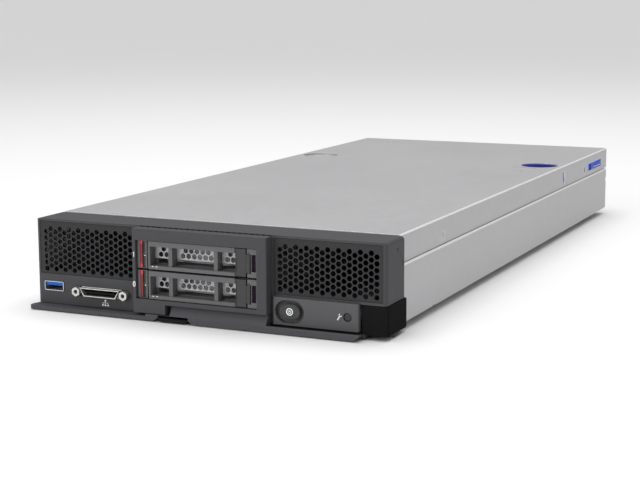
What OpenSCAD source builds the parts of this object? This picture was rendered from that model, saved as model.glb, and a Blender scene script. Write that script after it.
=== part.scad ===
// Half-width blade server (compute node) for a shared chassis.
// Frame: +Z up, front faces -Y, origin at the centre of the footprint, on the surface it stands on.
// Inside the modules y is counted from the front plane of the bezel; seat() moves it to the origin.

/* [Overall] */
// Width over the handle's left end and its pivot block
node_w = 217; // [205:1:262]
// Height from the underside runners to the top of the cover
node_h = 52; // [50:0.5:63]
// Depth from the handle's lip to the rear edge of the cover
node_d = 493; // [470:1:600]

/* [Chassis base] */
// How far each side wall stands in from the overall width
base_inset = 1.5; // [1:0.1:3]
// Thickness of the base sheet
base_t = 1.2; // [0.8:0.1:1.6]
// Height of the floor's underside, which is also the depth of the runners
floor_z = 4.5; // [3.5:0.1:5.5]
// Height of the ledge between the lower and the upper side tier
ledge_z = 36.2; // [32:0.1:40]
// How far the base stops short of the cover at the rear
rear_overhang = 6.5; // [4:0.5:10]
// Distance of each pressed runner from the middle
runner_x = 70; // [60:1:80]
// Width of a pressed runner
runner_w = 15; // [10:1:20]

/* [Cover] */
// How far each cover side stands in from the overall width
cover_inset = 3.1; // [2.5:0.1:4]
// Thickness of the cover sheet
cover_t = 1.0; // [0.8:0.1:1.4]
// Travel of the cover as it unhooks towards the rear
cover_travel = 12; // [8:1:16]
// Radius of each thumb pocket in the cover
pocket_r = 13.5; // [10:0.5:16]

/* [Bezel] */
// Depth of the bezel's side walls
bezel_d = 24.5; // [20:0.5:30]
// How far each bezel side stands in from the overall width
bezel_inset = 0.75; // [0.5:0.05:1.2]
// Wall thickness of the bezel
bezel_t = 2.0; // [1.6:0.1:2.6]
// Radius of the bezel's outer edges
bezel_r = 2.2; // [1:0.1:3]
// Height of the bezel's underside
bezel_z0 = 2.7; // [2.6:0.1:3.2]
// Height of the sill under the two intake grilles
sill_z = 19.8; // [18.5:0.1:22]

/* [Honeycomb] */
// Distance between neighbouring hexagonal holes
hex_pitch = 3.55; // [3:0.05:5]
// Width of the web between two holes
hex_web = 0.8; // [0.5:0.05:1.2]
// Thickness of the grille sheet
mesh_t = 0.8; // [0.5:0.1:1.2]

/* [Drive bay] */
// How far the bay surround stands forward of the bezel
surround_out = 6.8; // [5:0.1:8]
// Left edge of the bay opening
bay_x0 = -38.2; // [-40:0.1:-36]
// Height of the lower edge of the bay opening
bay_z0 = 11.7; // [11:0.1:14]
// Width of a drive tray's front
tray_w = 74; // [73:0.5:78]
// Height of a drive tray's front
tray_h = 15.4; // [15:0.1:18]
// Gap between the two trays
tray_gap = 1.2; // [1:0.1:2]
// Running gap between a tray and the bay around it
tray_fit = 0.3; // [0.2:0.05:0.4]
// Length of a drive
disk_l = 100.2; // [100:0.1:120]
// Width of a drive
disk_w = 69.85; // [69:0.05:70]
// Height of a drive
disk_h = 9.5; // [7:0.5:11]

/* [Front handle] */
// How far the lip stands forward of the bezel
lip_out = 8; // [7.9:0.1:12]
// Thickness of the handle's flat bar
bar_t = 2.1; // [1.6:0.1:2.1]
// Height of the raised front lip
lip_h = 3.4; // [2.8:0.1:3.4]
// Pivot distance from the right side
pivot_in = 6; // [5.5:0.1:7]
// Pivot distance behind the bezel's front plane
pivot_y = 14; // [13:0.1:15]
// Radius of the rounded rear of the pivot block
cam_r = 13.6; // [12:0.1:14]
// Height of the pivot block's top
cam_top = 18; // [15:0.1:18.2]
// Radius of the pivot pin
pin_r = 2.5; // [2:0.1:3]
// Running gap between the handle and its pin
pivot_fit = 0.05; // [0.03:0.01:0.08]

/* [Operator panel] */
// Gap between the bay surround and the operator panel
panel_gap = 1.2; // [0.8:0.1:3]
// How far the panel stands forward of the bezel
panel_out = 2.2; // [1.5:0.1:3]
// Width of the power button
power_w = 12.4; // [10:0.1:13]
// Travel of the power button
power_travel = 1.2; // [0.8:0.1:1.4]

/* [Memory and processors] */
// Width of a heat sink
sink_w = 78; // [70:1:80]
// Length of a heat sink
sink_l = 108; // [90:1:110]
// Number of memory modules in each bank
dimm_n = 6; // [4:1:6]
// Length of a memory module
dimm_l = 133.35; // [120:0.05:134]

/* [Hidden] */
$fn = 48;
eps = 0.01;

// widths and depths of the shells
half_w = node_w / 2;
base_half = half_w - base_inset;
cover_half = half_w - cover_inset;
bezel_half = half_w - bezel_inset;
cover_rear = node_d - lip_out;
base_rear = cover_rear - rear_overhang;
shell_gap = 0.2;
metal_y0 = bezel_d + shell_gap;
tier_half = cover_half - cover_t - shell_gap;
tier_top = node_h - cover_t - 0.4;
floor_top = floor_z + base_t;
bezel_top = node_h - 0.5;
function front_shift() = -(cover_rear - lip_out) / 2;

// bay and trays
bay_w = tray_w + 2 * tray_fit;
bay_x1 = bay_x0 + bay_w - 0.2;
bay_h = 2 * tray_h + tray_gap + 2 * tray_fit + 0.2;
bay_z1 = bay_z0 + bay_h;
tray_x0 = bay_x0 + tray_fit;
tray_x1 = tray_x0 + tray_w - 0.2;
tray_pitch = tray_h + tray_gap;
function tray_z(k) = bay_z0 + 0.4 + k * tray_pitch;
surround_x0 = bay_x0 - 2.2;
surround_x1 = bay_x1 + 5.8;
surround_z1 = node_h - 1.2;
thumb_z = bay_z0 - 2.3;
thumb_x0 = -20;
tray_face = 5.8;
lip_top_h = 2.8;
lip_low_h = 1.9;
column_w = 6;
main_x0 = tray_x0 + column_w + 1.3;
lever_w = 9.7;
post_w = 3.5;
main_x1 = tray_x1 - post_w - lever_w;
lever_pin_x = tray_x1 - post_w - 1.6;
lever_pin_y = -4.4;
lever_pin_r = 0.8;
ear_r = 1.25;
disk_x = (tray_x0 + tray_x1) / 2;
rail_t = 1.6;
disk_y = 8;
cage_y0 = 2.2;
cage_t = 1;
cage_rear = disk_y + disk_l + 3.8;
board_y0 = cage_rear + 8;

// handle and panel
cam_w = 15.5;
cam_x0 = half_w - cam_w;
pivot_x = half_w - pivot_in;
bar_z = 0.3;
panel_x1 = cam_x0 - 0.2;
panel_x0 = surround_x1 + panel_gap;
panel_z0 = 3.9;
panel_z1 = sill_z - 1.1;
power_x = panel_x0 + 10;
power_z = (panel_z0 + panel_z1) / 2;
reset_x = panel_x1 - 6.3;
tab_x0 = -24;
tab_w = 18.5;
tab_y1 = 0.5;
hinge_y = 3;
hinge_z = 1.3;
surround_z0 = 4;
tongue_r = 4.4;

// left front connectors
usb_x = -bezel_half + 11.2;
usb_z = 12.8;
usb_w = 12.8;
usb_h = 5.4;
console_x = -bezel_half + 43.2;
console_z = 11.5;
jack_gap = 31;
jack_r = 2.75;
jack_out = 3.6;

// boards
board_z = 10;
board_t = 1.6;
board_top = board_z + board_t;
board_y1 = base_rear - 10;
sink_gap = 5;
dimm_x0 = sink_w / 2 + sink_gap + 3.4;
dimm_pitch = (base_half - base_t - 5 - dimm_x0 - 3.4) / (dimm_n - 1);
bank_pitch = dimm_l + 16;
function bank_y(b) = board_y0 + 12 + b * bank_pitch + dimm_l / 2;
standoff_x = [10.5 - half_w, -42.5, 42.5, half_w - 10.5];
standoff_y = [board_y0 + 4, (bank_y(0) + bank_y(1)) / 2];
standoffs = concat([for (x = standoff_x, y = standoff_y) [x, y]],
    [for (x = [-80, -42.5, 42.5, 80]) [x, board_y1 - 5]]);
rear_y = base_rear - 5.5;
fabric_w = 44;
fabric_x = 60;

module seat() { translate([0, front_shift(), 0]) children(); }

// a 2D outline in X and Z, drawn out from y0 to y1
module along_y(y0, y1) { translate([0, y1, 0]) rotate([90, 0, 0]) linear_extrude(y1 - y0) children(); }

// a box between two corners
module span(a, b) { translate(a) cube(b - a); }

// a pin along Y from y0 to y1
module rod_y(x, y0, y1, z, r) { translate([x, y0, z]) rotate([-90, 0, 0]) cylinder(r = r, h = y1 - y0); }

// a pin along X from x0 to x1
module rod_x(x0, x1, y, z, r) { translate([x0, y, z]) rotate([0, 90, 0]) cylinder(r = r, h = x1 - x0); }

// a rectangle with round corners between two points
module round_rect(a, b, r) {
    translate([a[0] + r, a[1]]) square([b[0] - a[0] - 2 * r, b[1] - a[1]]);
    translate([a[0], a[1] + r]) square([b[0] - a[0], b[1] - a[1] - 2 * r]);
    for (x = [a[0] + r, b[0] - r], y = [a[1] + r, b[1] - r]) translate([x, y]) circle(r);
}

// a slot outline, w long and h high, centred
module stadium(w, h) {
    square([w - h, h], center = true);
    for (s = [-1, 1]) translate([s * (w - h) / 2, 0]) circle(h / 2);
}

// hexagonal holes in staggered columns that fit inside a rectangle
module hex_field(a, b, pitch, web) {
    col = pitch * sqrt(3) / 2;
    r = (pitch - web) / sqrt(3);
    cols = floor((b[0] - a[0] - 2 * r - web) / col);
    x0 = (a[0] + b[0] - cols * col) / 2;
    for (i = [0:cols]) {
        lift = (i % 2) * pitch / 2;
        rows = floor((b[1] - a[1] - pitch - lift) / pitch);
        for (j = [0:rows])
            translate([x0 + i * col, a[1] + pitch / 2 + lift + j * pitch]) circle(r, $fn = 6);
    }
}

// ---------------------------------------------------------------- chassis base

// one side wall: lower tier, ledge and upper tier
module side_wall() {
    bend = 0.9;
    polygon([
        [base_half - base_t, floor_z], [base_half, floor_z], [base_half, ledge_z - bend],
        [base_half - bend, ledge_z], [tier_half, ledge_z], [tier_half, tier_top],
        [tier_half - base_t, tier_top], [tier_half - base_t, ledge_z - base_t],
        [base_half - base_t, ledge_z - base_t]
    ]);
}

// a pressed runner, s = 1 outside and 0 inside
module runner(grow) {
    half = runner_w / 2 - (1 - grow) * base_t;
    low = (1 - grow) * base_t;
    polygon([
        [-half + 1.5, low], [half - 1.5, low], [half + 1, floor_top + (1 - grow)],
        [-half - 1, floor_top + (1 - grow)]
    ]);
}

module chassis_base() {
    tongue_in = bezel_half - bezel_t - shell_gap;
    runner_y = [metal_y0 + 16, base_rear - 12];
    color("lightgray") seat() difference() {
        union() {
            span([-base_half, metal_y0, floor_z], [base_half, base_rear, floor_top]);
            span([-base_half + 6, 7, floor_z], [cam_x0 - 5.5, metal_y0 + 1, floor_top]);
            // tongue that reaches into the pivot block and holds its pin
            span([cam_x0 - 8, pivot_y - tongue_r, floor_z], [pivot_x, pivot_y + tongue_r, floor_top]);
            translate([pivot_x, pivot_y, floor_z]) cylinder(r = tongue_r, h = base_t);
            for (s = [0, 1]) mirror([s, 0, 0]) {
                along_y(metal_y0, base_rear) side_wall();
                span([tongue_in - base_t, 6, sill_z + 1], [tongue_in, metal_y0, bezel_top - bezel_t - 1]);
                span([tongue_in - base_t, 6, ledge_z - 4], [tongue_in, metal_y0 + 5, ledge_z]);
                translate([runner_x, 0, 0]) along_y(runner_y[0], runner_y[1]) runner(1);
            }
        }
        for (s = [0, 1]) mirror([s, 0, 0]) {
            translate([runner_x, 0, 0]) along_y(runner_y[0] + base_t, runner_y[1] - base_t) runner(0);
            // the upper tier stops short where the cover latch works
            span([tier_half - 3, base_rear - 74, ledge_z + eps], [tier_half + 1, base_rear + 1, node_h]);
            // small notches where the base sheet hooks the fixture, and a half-round at the rear
            for (y = [bezel_d + 47, base_rear - 25])
                translate([base_half - 3, y, floor_z - 1]) cube([4, 2.6, 1.9]);
            rod_x(base_half - 3, base_half + 1, base_rear, 22.7 + floor_z, 1.6);
            for (z = [bezel_top - 5.4, ledge_z + 2.2]) screw_hole(z > ledge_z + 5 ? 14.4 : 20.6, z);
        }
        translate([pivot_x, pivot_y, floor_z - 1]) cylinder(r = pin_r, h = base_t + 2);
        // room for the pivot block
        span([cam_x0 - 4, metal_y0 - 1, floor_z - 1], [base_half + 1, pivot_y + cam_r + 0.5, cam_top + 0.4]);
        // gates through which the cover's hooks enter and slide home
        for (s = [0, 1]) mirror([s, 0, 0]) for (y = hook_y) {
            x = [tier_half - base_t - 1, tier_half + 1];
            y1 = y + hook_l + cover_travel + 0.5;
            span([x[0], y - 0.4, hook_z - 0.4], [x[1], y1, hook_z + 2.4]);
            span([x[0], y + cover_travel - 0.5, hook_z - 0.4], [x[1], y1, node_h]);
        }
        // slots that drain and cool the floor
        for (i = [-2:2]) translate([i * 20, base_rear - 26, floor_z - 1])
            linear_extrude(base_t + 2) stadium(12, 3);
    }
}

// clearance for a bezel screw through a side tongue
module screw_hole(y, z) { rod_x(tier_half - 3, bezel_half + 1, y, z, 1.3); }

// ---------------------------------------------------------------- cover

module cover_profile() {
    bend = 0.8;
    skirt_z = ledge_z + 0.3;
    polygon([
        [-cover_half, skirt_z], [-cover_half, node_h - bend], [-cover_half + bend, node_h],
        [cover_half - bend, node_h], [cover_half, node_h - bend], [cover_half, skirt_z],
        [cover_half - cover_t, skirt_z], [cover_half - cover_t, node_h - cover_t],
        [-cover_half + cover_t, node_h - cover_t], [-cover_half + cover_t, skirt_z]
    ]);
}

pocket_x = cover_half - pocket_r - 3.9;
pocket_y = cover_rear - 135;
pocket_deep = 1.6;
hook_y = [metal_y0 + 22, metal_y0 + 170, metal_y0 + 318];
hook_l = 6;
hook_z = ledge_z + 3.6;
latch_y0 = cover_rear - 51;
latch_l = 31;
latch_travel = 6;
latch_z = node_h - 9.4;
window_h = 5.4;

module top_cover() {
    color("silver") seat() difference() {
        union() {
            along_y(metal_y0, cover_rear) cover_profile();
            for (s = [-1, 1]) translate([s * pocket_x, pocket_y, node_h - pocket_deep - cover_t])
                cylinder(r = pocket_r + cover_t, h = pocket_deep + cover_t - eps);
            // hem turned down along the rear edge
            span([-cover_half + cover_t, cover_rear - cover_t, node_h - 5],
                [cover_half - cover_t, cover_rear, node_h - eps]);
            // hooks that hold the cover down once it has slid home
            for (s = [0, 1]) mirror([s, 0, 0]) for (y = hook_y)
                span([tier_half - base_t - 0.6, y, hook_z],
                    [cover_half - cover_t + eps, y + hook_l, hook_z + 2]);
        }
        for (s = [-1, 1]) translate([s * pocket_x, pocket_y, node_h - pocket_deep])
            cylinder(r = pocket_r, h = pocket_deep + 1);
        // window for the latch, and the slot in front of it
        span([cover_half - 3, latch_y0 - latch_travel - 2, latch_z - window_h / 2],
            [cover_half + 1, latch_y0 + latch_l + 2, latch_z + window_h / 2]);
        translate([cover_half - 3, latch_y0 - latch_travel - 13, latch_z - 0.8]) rotate([0, 90, 0])
            linear_extrude(4) stadium(5.4, 2.6);
        // pressed dimples on the sides
        for (s = [0, 1]) mirror([s, 0, 0]) {
            rod_x(cover_half - 0.4, cover_half + 1, metal_y0 + 67, node_h - 10.8, 3);
            rod_x(cover_half - 0.4, cover_half + 1, pocket_y + 4, node_h - 8.5, 4.3);
        }
        // twin witness holes beside the hooks
        for (p = [[cover_half - 31, metal_y0 + 49], [-cover_half + 33.5, cover_rear - 35]], d = [-2.6, 2.6])
            translate([p[0] + d, p[1], node_h - 3]) cylinder(r = 0.9, h = 4);
    }
}

module cover_latch() {
    color("royalblue") seat() difference() {
        union() {
            span([cover_half - 4.2, latch_y0 - 3, latch_z - 4.2],
                [cover_half - cover_t - 0.15, latch_y0 + latch_l + 1, latch_z + 4.2]);
            span([cover_half - cover_t - 0.2, latch_y0, latch_z - window_h / 2 + 0.25],
                [cover_half + 0.3, latch_y0 + latch_l, latch_z + window_h / 2 - 0.25]);
        }
        // finger grooves across the pad
        for (i = [0:4]) span([cover_half - 0.2, latch_y0 + 9 + i * 3.6, latch_z - 4],
            [cover_half + 1, latch_y0 + 10.2 + i * 3.6, latch_z + 4]);
    }
}

module touch_pad() {
    color("blue") seat() difference() {
        translate([pocket_x, pocket_y, node_h - pocket_deep]) cylinder(r = pocket_r - 0.2, h = 0.8);
        translate([pocket_x, pocket_y, node_h - pocket_deep - 1]) rotate([0, 0, 225])
            translate([-2 * pocket_r, pocket_r * 0.72, 0]) cube([4 * pocket_r, 20, 4]);
    }
}

// ---------------------------------------------------------------- bezel

window_top = bezel_top - 1.3;
left_window = [-bezel_half + 2.3, surround_x0 - 1.2];
right_window = [surround_x1 + 1, bezel_half - 2.1];
mesh_y = 0.3;
mesh_lip = 0.9;

// the bezel's outer form, round at its front and top edges
module bezel_body() {
    intersection() {
        translate([0, 0, bezel_z0]) linear_extrude(bezel_top - bezel_z0)
            round_rect([-bezel_half, 0], [bezel_half, bezel_d + 6], bezel_r);
        along_y(-1, bezel_d) round_rect([-bezel_half, bezel_z0 - 6], [bezel_half, bezel_top], bezel_r);
    }
}

// a window for a grille sheet, with a lip that the sheet rests on
module window(x) {
    span([x[0], -1, sill_z], [x[1], mesh_y + mesh_t, window_top]);
    span([x[0] + mesh_lip, -1, sill_z + mesh_lip], [x[1] - mesh_lip, bezel_t + 1, window_top - mesh_lip]);
}

module front_bezel() {
    color("#1c1c1e") seat() difference() {
        union() {
            difference() {
                bezel_body();
                span([-bezel_half + bezel_t, bezel_t, floor_z],
                    [bezel_half - bezel_t, bezel_d + 1, bezel_top - bezel_t]);
            }
            // bay surround
            translate([0, 0, surround_z0]) linear_extrude(surround_z1 - surround_z0)
                round_rect([surround_x0, -surround_out], [surround_x1, bezel_t], 0.8);
        }
        window(left_window);
        window(right_window);
        // row of holes that the surround half hides
        for (i = [0:floor((surround_x1 - surround_x0 - 4) / hex_pitch)])
            translate([surround_x0 + 3 + i * hex_pitch, 0, surround_z1 - 0.9]) rotate([-90, 0, 0])
                cylinder(r = (hex_pitch - hex_web) / sqrt(3), h = bezel_t - 0.4, $fn = 6);
        // bay opening
        span([bay_x0, -surround_out - 1, bay_z0], [bay_x1, bezel_t + 1, bay_z1]);
        // place for the handle's thumb plate and its release
        span([thumb_x0, -surround_out - 1, bezel_z0 - 1], [surround_x1 + 1, -1.2, thumb_z]);
        // operator panel and pivot block
        span([panel_x0 - 0.2, -1, bezel_z0 - 1], [panel_x1 + 0.1, bezel_t + 1, panel_z1 + 0.1]);
        span([panel_x1, -1, bezel_z0 - 1], [bezel_half + 1, bezel_d + 1, sill_z - 1.5]);
        translate([pivot_x, pivot_y, bezel_z0 - 1]) cylinder(r = cam_r + 0.5, h = sill_z - bezel_z0 - 0.5);
        span([panel_x0 - 0.2, bezel_t, bezel_z0 - 1], [panel_x1, bezel_t + 4, floor_z]);
        // connectors
        span([usb_x - usb_w / 2 - 0.2, -1, usb_z - usb_h / 2 - 0.2],
            [usb_x + usb_w / 2 + 0.2, bezel_t + 1, usb_z + usb_h / 2 + 0.2]);
        translate([console_x, 0, console_z]) along_y(-1, bezel_t + 1) d_outline(0.3);
        for (s = [-1, 1]) rod_y(console_x + s * jack_gap / 2, -1, bezel_t + 1, console_z - 0.2, 2.9);
        rod_y(usb_x + 11.5, -1, bezel_t + 1, usb_z - 0.9, 0.45);
        for (s = [0, 1]) mirror([s, 0, 0]) for (p = screw_places) {
            rod_x(bezel_half - 0.6, bezel_half + 1, p[0], p[1], 2.1);
            rod_x(bezel_half - bezel_t - 1, bezel_half + 1, p[0], p[1], 1.3);
        }
    }
}

screw_places = [[14.4, bezel_top - 5.4], [20.6, ledge_z + 2.2]];

module bezel_screws() {
    color("dimgray") seat() for (s = [0, 1]) mirror([s, 0, 0]) for (p = screw_places) difference() {
        union() {
            rod_x(bezel_half - 0.6, bezel_half - 0.1, p[0], p[1], 2);
            rod_x(bezel_half - bezel_t - 3, bezel_half - 0.5, p[0], p[1], 1.2);
        }
        translate([bezel_half - 0.5, p[0], p[1]]) rotate([0, 90, 0]) cylinder(r = 0.9, h = 1, $fn = 6);
    }
}

module grille_sheet(x) {
    a = [x[0] + 0.15, sill_z + 0.15];
    b = [x[1] - 0.15, window_top - 0.15];
    along_y(mesh_y, mesh_y + mesh_t) difference() {
        translate(a) square(b - a);
        hex_field(a + [mesh_lip, mesh_lip], b - [mesh_lip, mesh_lip], hex_pitch, hex_web);
    }
}

module intake_grille_left() { color("#2b2b2d") seat() grille_sheet(left_window); }
module intake_grille_right() { color("#2b2b2d") seat() grille_sheet(right_window); }

// ---------------------------------------------------------------- operator panel

recess_w = power_w + 4.5;
recess_h = 12.4;

module operator_panel() {
    color("#2e2e30") seat() difference() {
        union() {
            translate([0, 0, panel_z0]) linear_extrude(panel_z1 - panel_z0)
                round_rect([panel_x0, -panel_out], [panel_x1, bezel_t], 1);
            // ribs that carry the board behind
            for (x = [panel_x0 + 1, power_x + 14, panel_x1 - 14])
                span([x, bezel_t - 1, panel_z0 + 1], [x + 1.6, 6.4, panel_z1 - 1]);
        }
        translate([power_x, 0, power_z]) along_y(-panel_out - 1, 0.6) stadium(recess_w, recess_h);
        translate([power_x, 0, power_z]) along_y(-1, 7) stadium(power_w - 3.6, 4.6);
        rod_y(reset_x, -panel_out - 1, 0.6, power_z, 2.4);
        rod_y(reset_x, -1, 7, power_z, 1.05);
    }
}

module power_button() {
    color("#3a3a3c") seat() {
        translate([power_x, 0, power_z]) along_y(-2.1, -1.7) stadium(power_w - 1, 7.2);
        translate([power_x, 0, power_z]) along_y(-1.7, 0.4 - power_travel) stadium(power_w, 8.2);
        translate([power_x, 0, power_z]) along_y(0.3 - power_travel, 2.8) stadium(power_w - 4, 4.2);
    }
}

module reset_button() {
    color("#2a2a2c") seat() {
        rod_y(reset_x, -1.6, -0.4, power_z, 1.9);
        rod_y(reset_x, -0.5, 3.2, power_z, 0.9);
    }
}

module panel_board() {
    color("darkgreen") seat() union() {
        span([panel_x0 + 1, 6.4, panel_z0 + 2], [reset_x + 2.4, 8, panel_z1 - 1.5]);
        // push switches under the two buttons
        span([power_x - 3.5, 4.4, power_z - 3], [power_x + 3.5, 6.5, power_z + 3]);
        span([reset_x - 2, 4.4, power_z - 2], [reset_x + 2, 6.5, power_z + 2]);
        // status lamps and the ribbon connector
        for (i = [0:3])
            span([power_x + 18 + i * 2.2, 8 - eps, power_z - 1], [power_x + 19 + i * 2.2, 8.8, power_z + 1]);
        span([power_x - 6, 8 - eps, power_z - 2], [power_x + 6, 12, power_z + 2]);
    }
}

// ---------------------------------------------------------------- front connectors

module usb_shell() {
    color("silver") seat() difference() {
        along_y(-0.4, 14) translate([usb_x, usb_z])
            round_rect([-usb_w / 2, -usb_h / 2], [usb_w / 2, usb_h / 2], 0.7);
        along_y(-1, 11) translate([usb_x, usb_z])
            round_rect([-usb_w / 2 + 0.4, -usb_h / 2 + 0.4], [usb_w / 2 - 0.4, usb_h / 2 - 0.4], 0.4);
    }
}

module usb_tongue() {
    color("royalblue") seat() union() {
        span([usb_x - 5.6, 0.3, usb_z + 0.3], [usb_x + 5.6, 11, usb_z + 2.1]);
        span([usb_x - 5.8, 9, usb_z - 2.1], [usb_x + 5.8, 11, usb_z + 2.2]);
    }
}

// D-shaped outline of the console connector, grown by g
module d_outline(g) {
    polygon([
        [-12.9 - g, 2.4 + g], [12.9 + g, 2.4 + g], [10.4 + g, -2.4 - g], [-10.4 - g, -2.4 - g]
    ]);
}

module console_shell() {
    color("lightgray") seat() difference() {
        union() {
            translate([console_x, 0, console_z]) along_y(-3.4, 6) d_outline(0);
            translate([console_x, 0, console_z]) along_y(-0.6, bezel_t) d_outline(0.2);
            along_y(bezel_t, bezel_t + 0.8) translate([console_x, console_z - 0.2])
                round_rect([-20, -4.4], [20, 4.4], 1);
        }
        translate([console_x, 0, console_z]) along_y(-4, 7) d_outline(-0.5);
        for (s = [-1, 1]) rod_y(console_x + s * jack_gap / 2, 0, 5, console_z - 0.2, 1.5);
    }
}

module console_insert() {
    color("black") seat() difference() {
        union() {
            translate([console_x, 0, console_z]) along_y(3, 12) d_outline(-0.6);
            span([console_x - 9.5, -2.2, console_z - 0.6], [console_x + 9.5, 4, console_z + 0.6]);
        }
        for (i = [-9:9])
            span([console_x + i - 0.2, -3, console_z + 0.35], [console_x + i + 0.2, 3, console_z + 1]);
    }
}

module console_jacks() {
    color("silver") seat() for (s = [-1, 1]) translate([console_x + s * jack_gap / 2, 0, console_z - 0.2])
        difference() {
            union() {
                rotate([90, 0, 0]) translate([0, 0, -bezel_t]) rotate([0, 0, 90])
                    cylinder(r = jack_r, h = bezel_t + jack_out, $fn = 6);
                rod_y(0, bezel_t - 0.1, 6, 0, 1.4);
            }
            rod_y(0, -4, 2, 0, 1.2);
        }
}

io_z = floor_top + 0.9;
io_top = io_z + board_t;

module front_io_board() {
    color("darkgreen") seat() union() {
        span([-bezel_half + 3.4, 3.2, io_z], [surround_x0 - 3, 44, io_top]);
        // block that lifts the socket off the board, and the pieces behind both sockets
        span([usb_x - 5.6, 3.6, io_top - eps], [usb_x + 5.6, 14, usb_z - usb_h / 2]);
        span([usb_x - 7, 14.2, io_top - eps], [usb_x + 7, 17, usb_z + 2]);
        span([console_x - 14, 12.2, io_top - eps], [console_x + 14, 16, console_z + 3]);
        for (i = [0:4])
            span([console_x - 12 + i * 5, 24, io_top - eps], [console_x - 9 + i * 5, 27, io_top + 1.2]);
        for (i = [0:2])
            span([usb_x - 7 + i * 5, 26, io_top - eps], [usb_x - 4 + i * 5, 32, io_top + 2]);
        span([console_x - 20, 34, io_top - eps], [console_x + 6, 41, io_top + 6]);
        // posts that carry the board on the base
        for (x = [usb_x - 6, surround_x0 - 7], y = [21, 38])
            translate([x, y, floor_top]) cylinder(r = 2, h = io_z - floor_top + eps);
    }
}

// ---------------------------------------------------------------- front handle

// plan of the flat bar, cut back at its left end
module bar_plan(y0, y1) {
    x0 = -half_w;
    x1 = cam_x0 + 2.4;
    polygon([
        [x0 + 0.9, y0], [x1, y0], [x1, y1], [x0 + 4, y1], [x0, -lip_out + 4.5], [x0, -lip_out + 1.2]
    ]);
}

tab_x1 = tab_x0 + tab_w;
thumb_x = [thumb_x0 + 3, surround_x1 - 0.3];

module front_handle() {
    color("#232325") seat() difference() {
        union() {
            translate([0, 0, bar_z]) linear_extrude(bar_t) bar_plan(-lip_out, 9);
            // raised lip from the release to the right end
            along_x(tab_x0 - 8, cam_x0 + 2.4) polygon([
                [-lip_out, bar_z], [-lip_out, bar_z + lip_h - 0.5], [-lip_out + 0.5, bar_z + lip_h],
                [-lip_out + 1, bar_z + lip_h], [-lip_out + 1.5, bar_z + bar_t - eps], [-lip_out + 1.5, bar_z]
            ]);
            // sloping thumb plate with its web
            along_x(thumb_x[0], thumb_x[1]) polygon([
                [-lip_out + 0.5, bar_z + lip_h - eps], [-lip_out + 3.9, thumb_z - 0.5],
                [-lip_out + 5.6, thumb_z - 0.5], [-lip_out + 5.6, bar_z + bar_t - eps],
                [-lip_out + 4.1, bar_z + bar_t - eps], [-lip_out + 4.1, thumb_z - 2.1],
                [-lip_out + 1.9, bar_z + lip_h - eps]
            ]);
            // arm that reaches under the pivot block
            translate([0, 0, bar_z]) linear_extrude(bar_t) {
                translate([cam_x0 - 28, 8]) square([24, 14]);
                translate([cam_x0 - 6, 8]) square([12, 14]);
                translate([pivot_x, pivot_y]) circle(5.5);
            }
        }
        // place for the release tab, open towards the front
        span([tab_x0 - 0.3, -lip_out - 1, bar_z - 1], [tab_x1 + 0.3, hinge_y + 2.2, bar_z + lip_h - 0.1]);
        rod_x(tab_x0 - 3.5, tab_x1 + 3.5, hinge_y, hinge_z, 0.65);
        // chamfered notches beside the tab, and the chamfered right end
        notch(tab_x0, -3.4);
        notch(tab_x1, 3.4);
        translate([cam_x0 + 2.5, -lip_out - 1, bar_z]) rotate([-90, 0, 0])
            linear_extrude(9) polygon([[0.1, 0.1], [-3.2, 0.1], [0.1, -3]]);
        translate([pivot_x, pivot_y, bar_z - 1]) cylinder(r = pin_r + pivot_fit, h = bar_t + 2);
    }
}

// a chamfered notch in the lip, w wide, beside x
module notch(x, w) {
    translate([x, -lip_out - 1, bar_z]) rotate([-90, 0, 0])
        linear_extrude(6) polygon([[0, 0.1], [w, 0.1], [0, -2]]);
}

// an outline in Y and Z, drawn out from x0 to x1
module along_x(x0, x1) { translate([x0, 0, 0]) rotate([90, 0, 90]) linear_extrude(x1 - x0) children(); }

// plan of the pivot block: square in front, round behind
module cam_plan() {
    intersection() {
        union() {
            round_rect([cam_x0, 0], [half_w, pivot_y + 6], 1.8);
            translate([pivot_x, pivot_y]) circle(cam_r);
        }
        translate([cam_x0, -1]) square([cam_w, pivot_y + cam_r + 2]);
    }
}

module handle_cam() {
    color("#141416") seat() difference() {
        translate([0, 0, bar_z + bar_t]) linear_extrude(cam_top - bar_z - bar_t) cam_plan();
        translate([pivot_x, pivot_y, 0]) cylinder(r = pin_r + pivot_fit, h = cam_top - 2);
        translate([pivot_x, pivot_y, cam_top - 2.4]) cylinder(r = 1.2, h = 4);
        // slot for the tongue of the base, open over the whole swing
        translate([pivot_x, pivot_y, floor_z - 0.2]) cylinder(r = tongue_r + 0.3, h = base_t + 0.4);
        span([cam_x0 - 1, pivot_y - tongue_r - 0.3, floor_z - 0.2],
            [pivot_x + tongue_r - 0.2, pivot_y + cam_r + 1, floor_top + 0.2]);
        // hollow back of the moulding
        span([cam_x0 - 1, pivot_y - 6, floor_top + 2.2], [pivot_x - pin_r - 2, pivot_y - 3.5, cam_top - 2]);
        span([cam_x0 - 1, pivot_y - 1.5, floor_top + 2.2], [pivot_x - pin_r - 2, pivot_y + 1.5, cam_top - 2]);
        // sloping lower edge at the back
        along_x(cam_x0 - 1, half_w + 1) polygon([
            [pivot_y + cam_r - 3.2, bar_z + bar_t - 1], [pivot_y + cam_r + 1, bar_z + bar_t - 1],
            [pivot_y + cam_r + 1, bar_z + bar_t + 3.2]
        ]);
    }
}

module handle_pin() {
    color("silver") seat() translate([pivot_x, pivot_y, bar_z]) difference() {
        cylinder(r = pin_r, h = cam_top - 2.3 - bar_z);
        translate([0, 0, -1]) cylinder(r = 1.2, h = 2.2, $fn = 6);
    }
}

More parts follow.
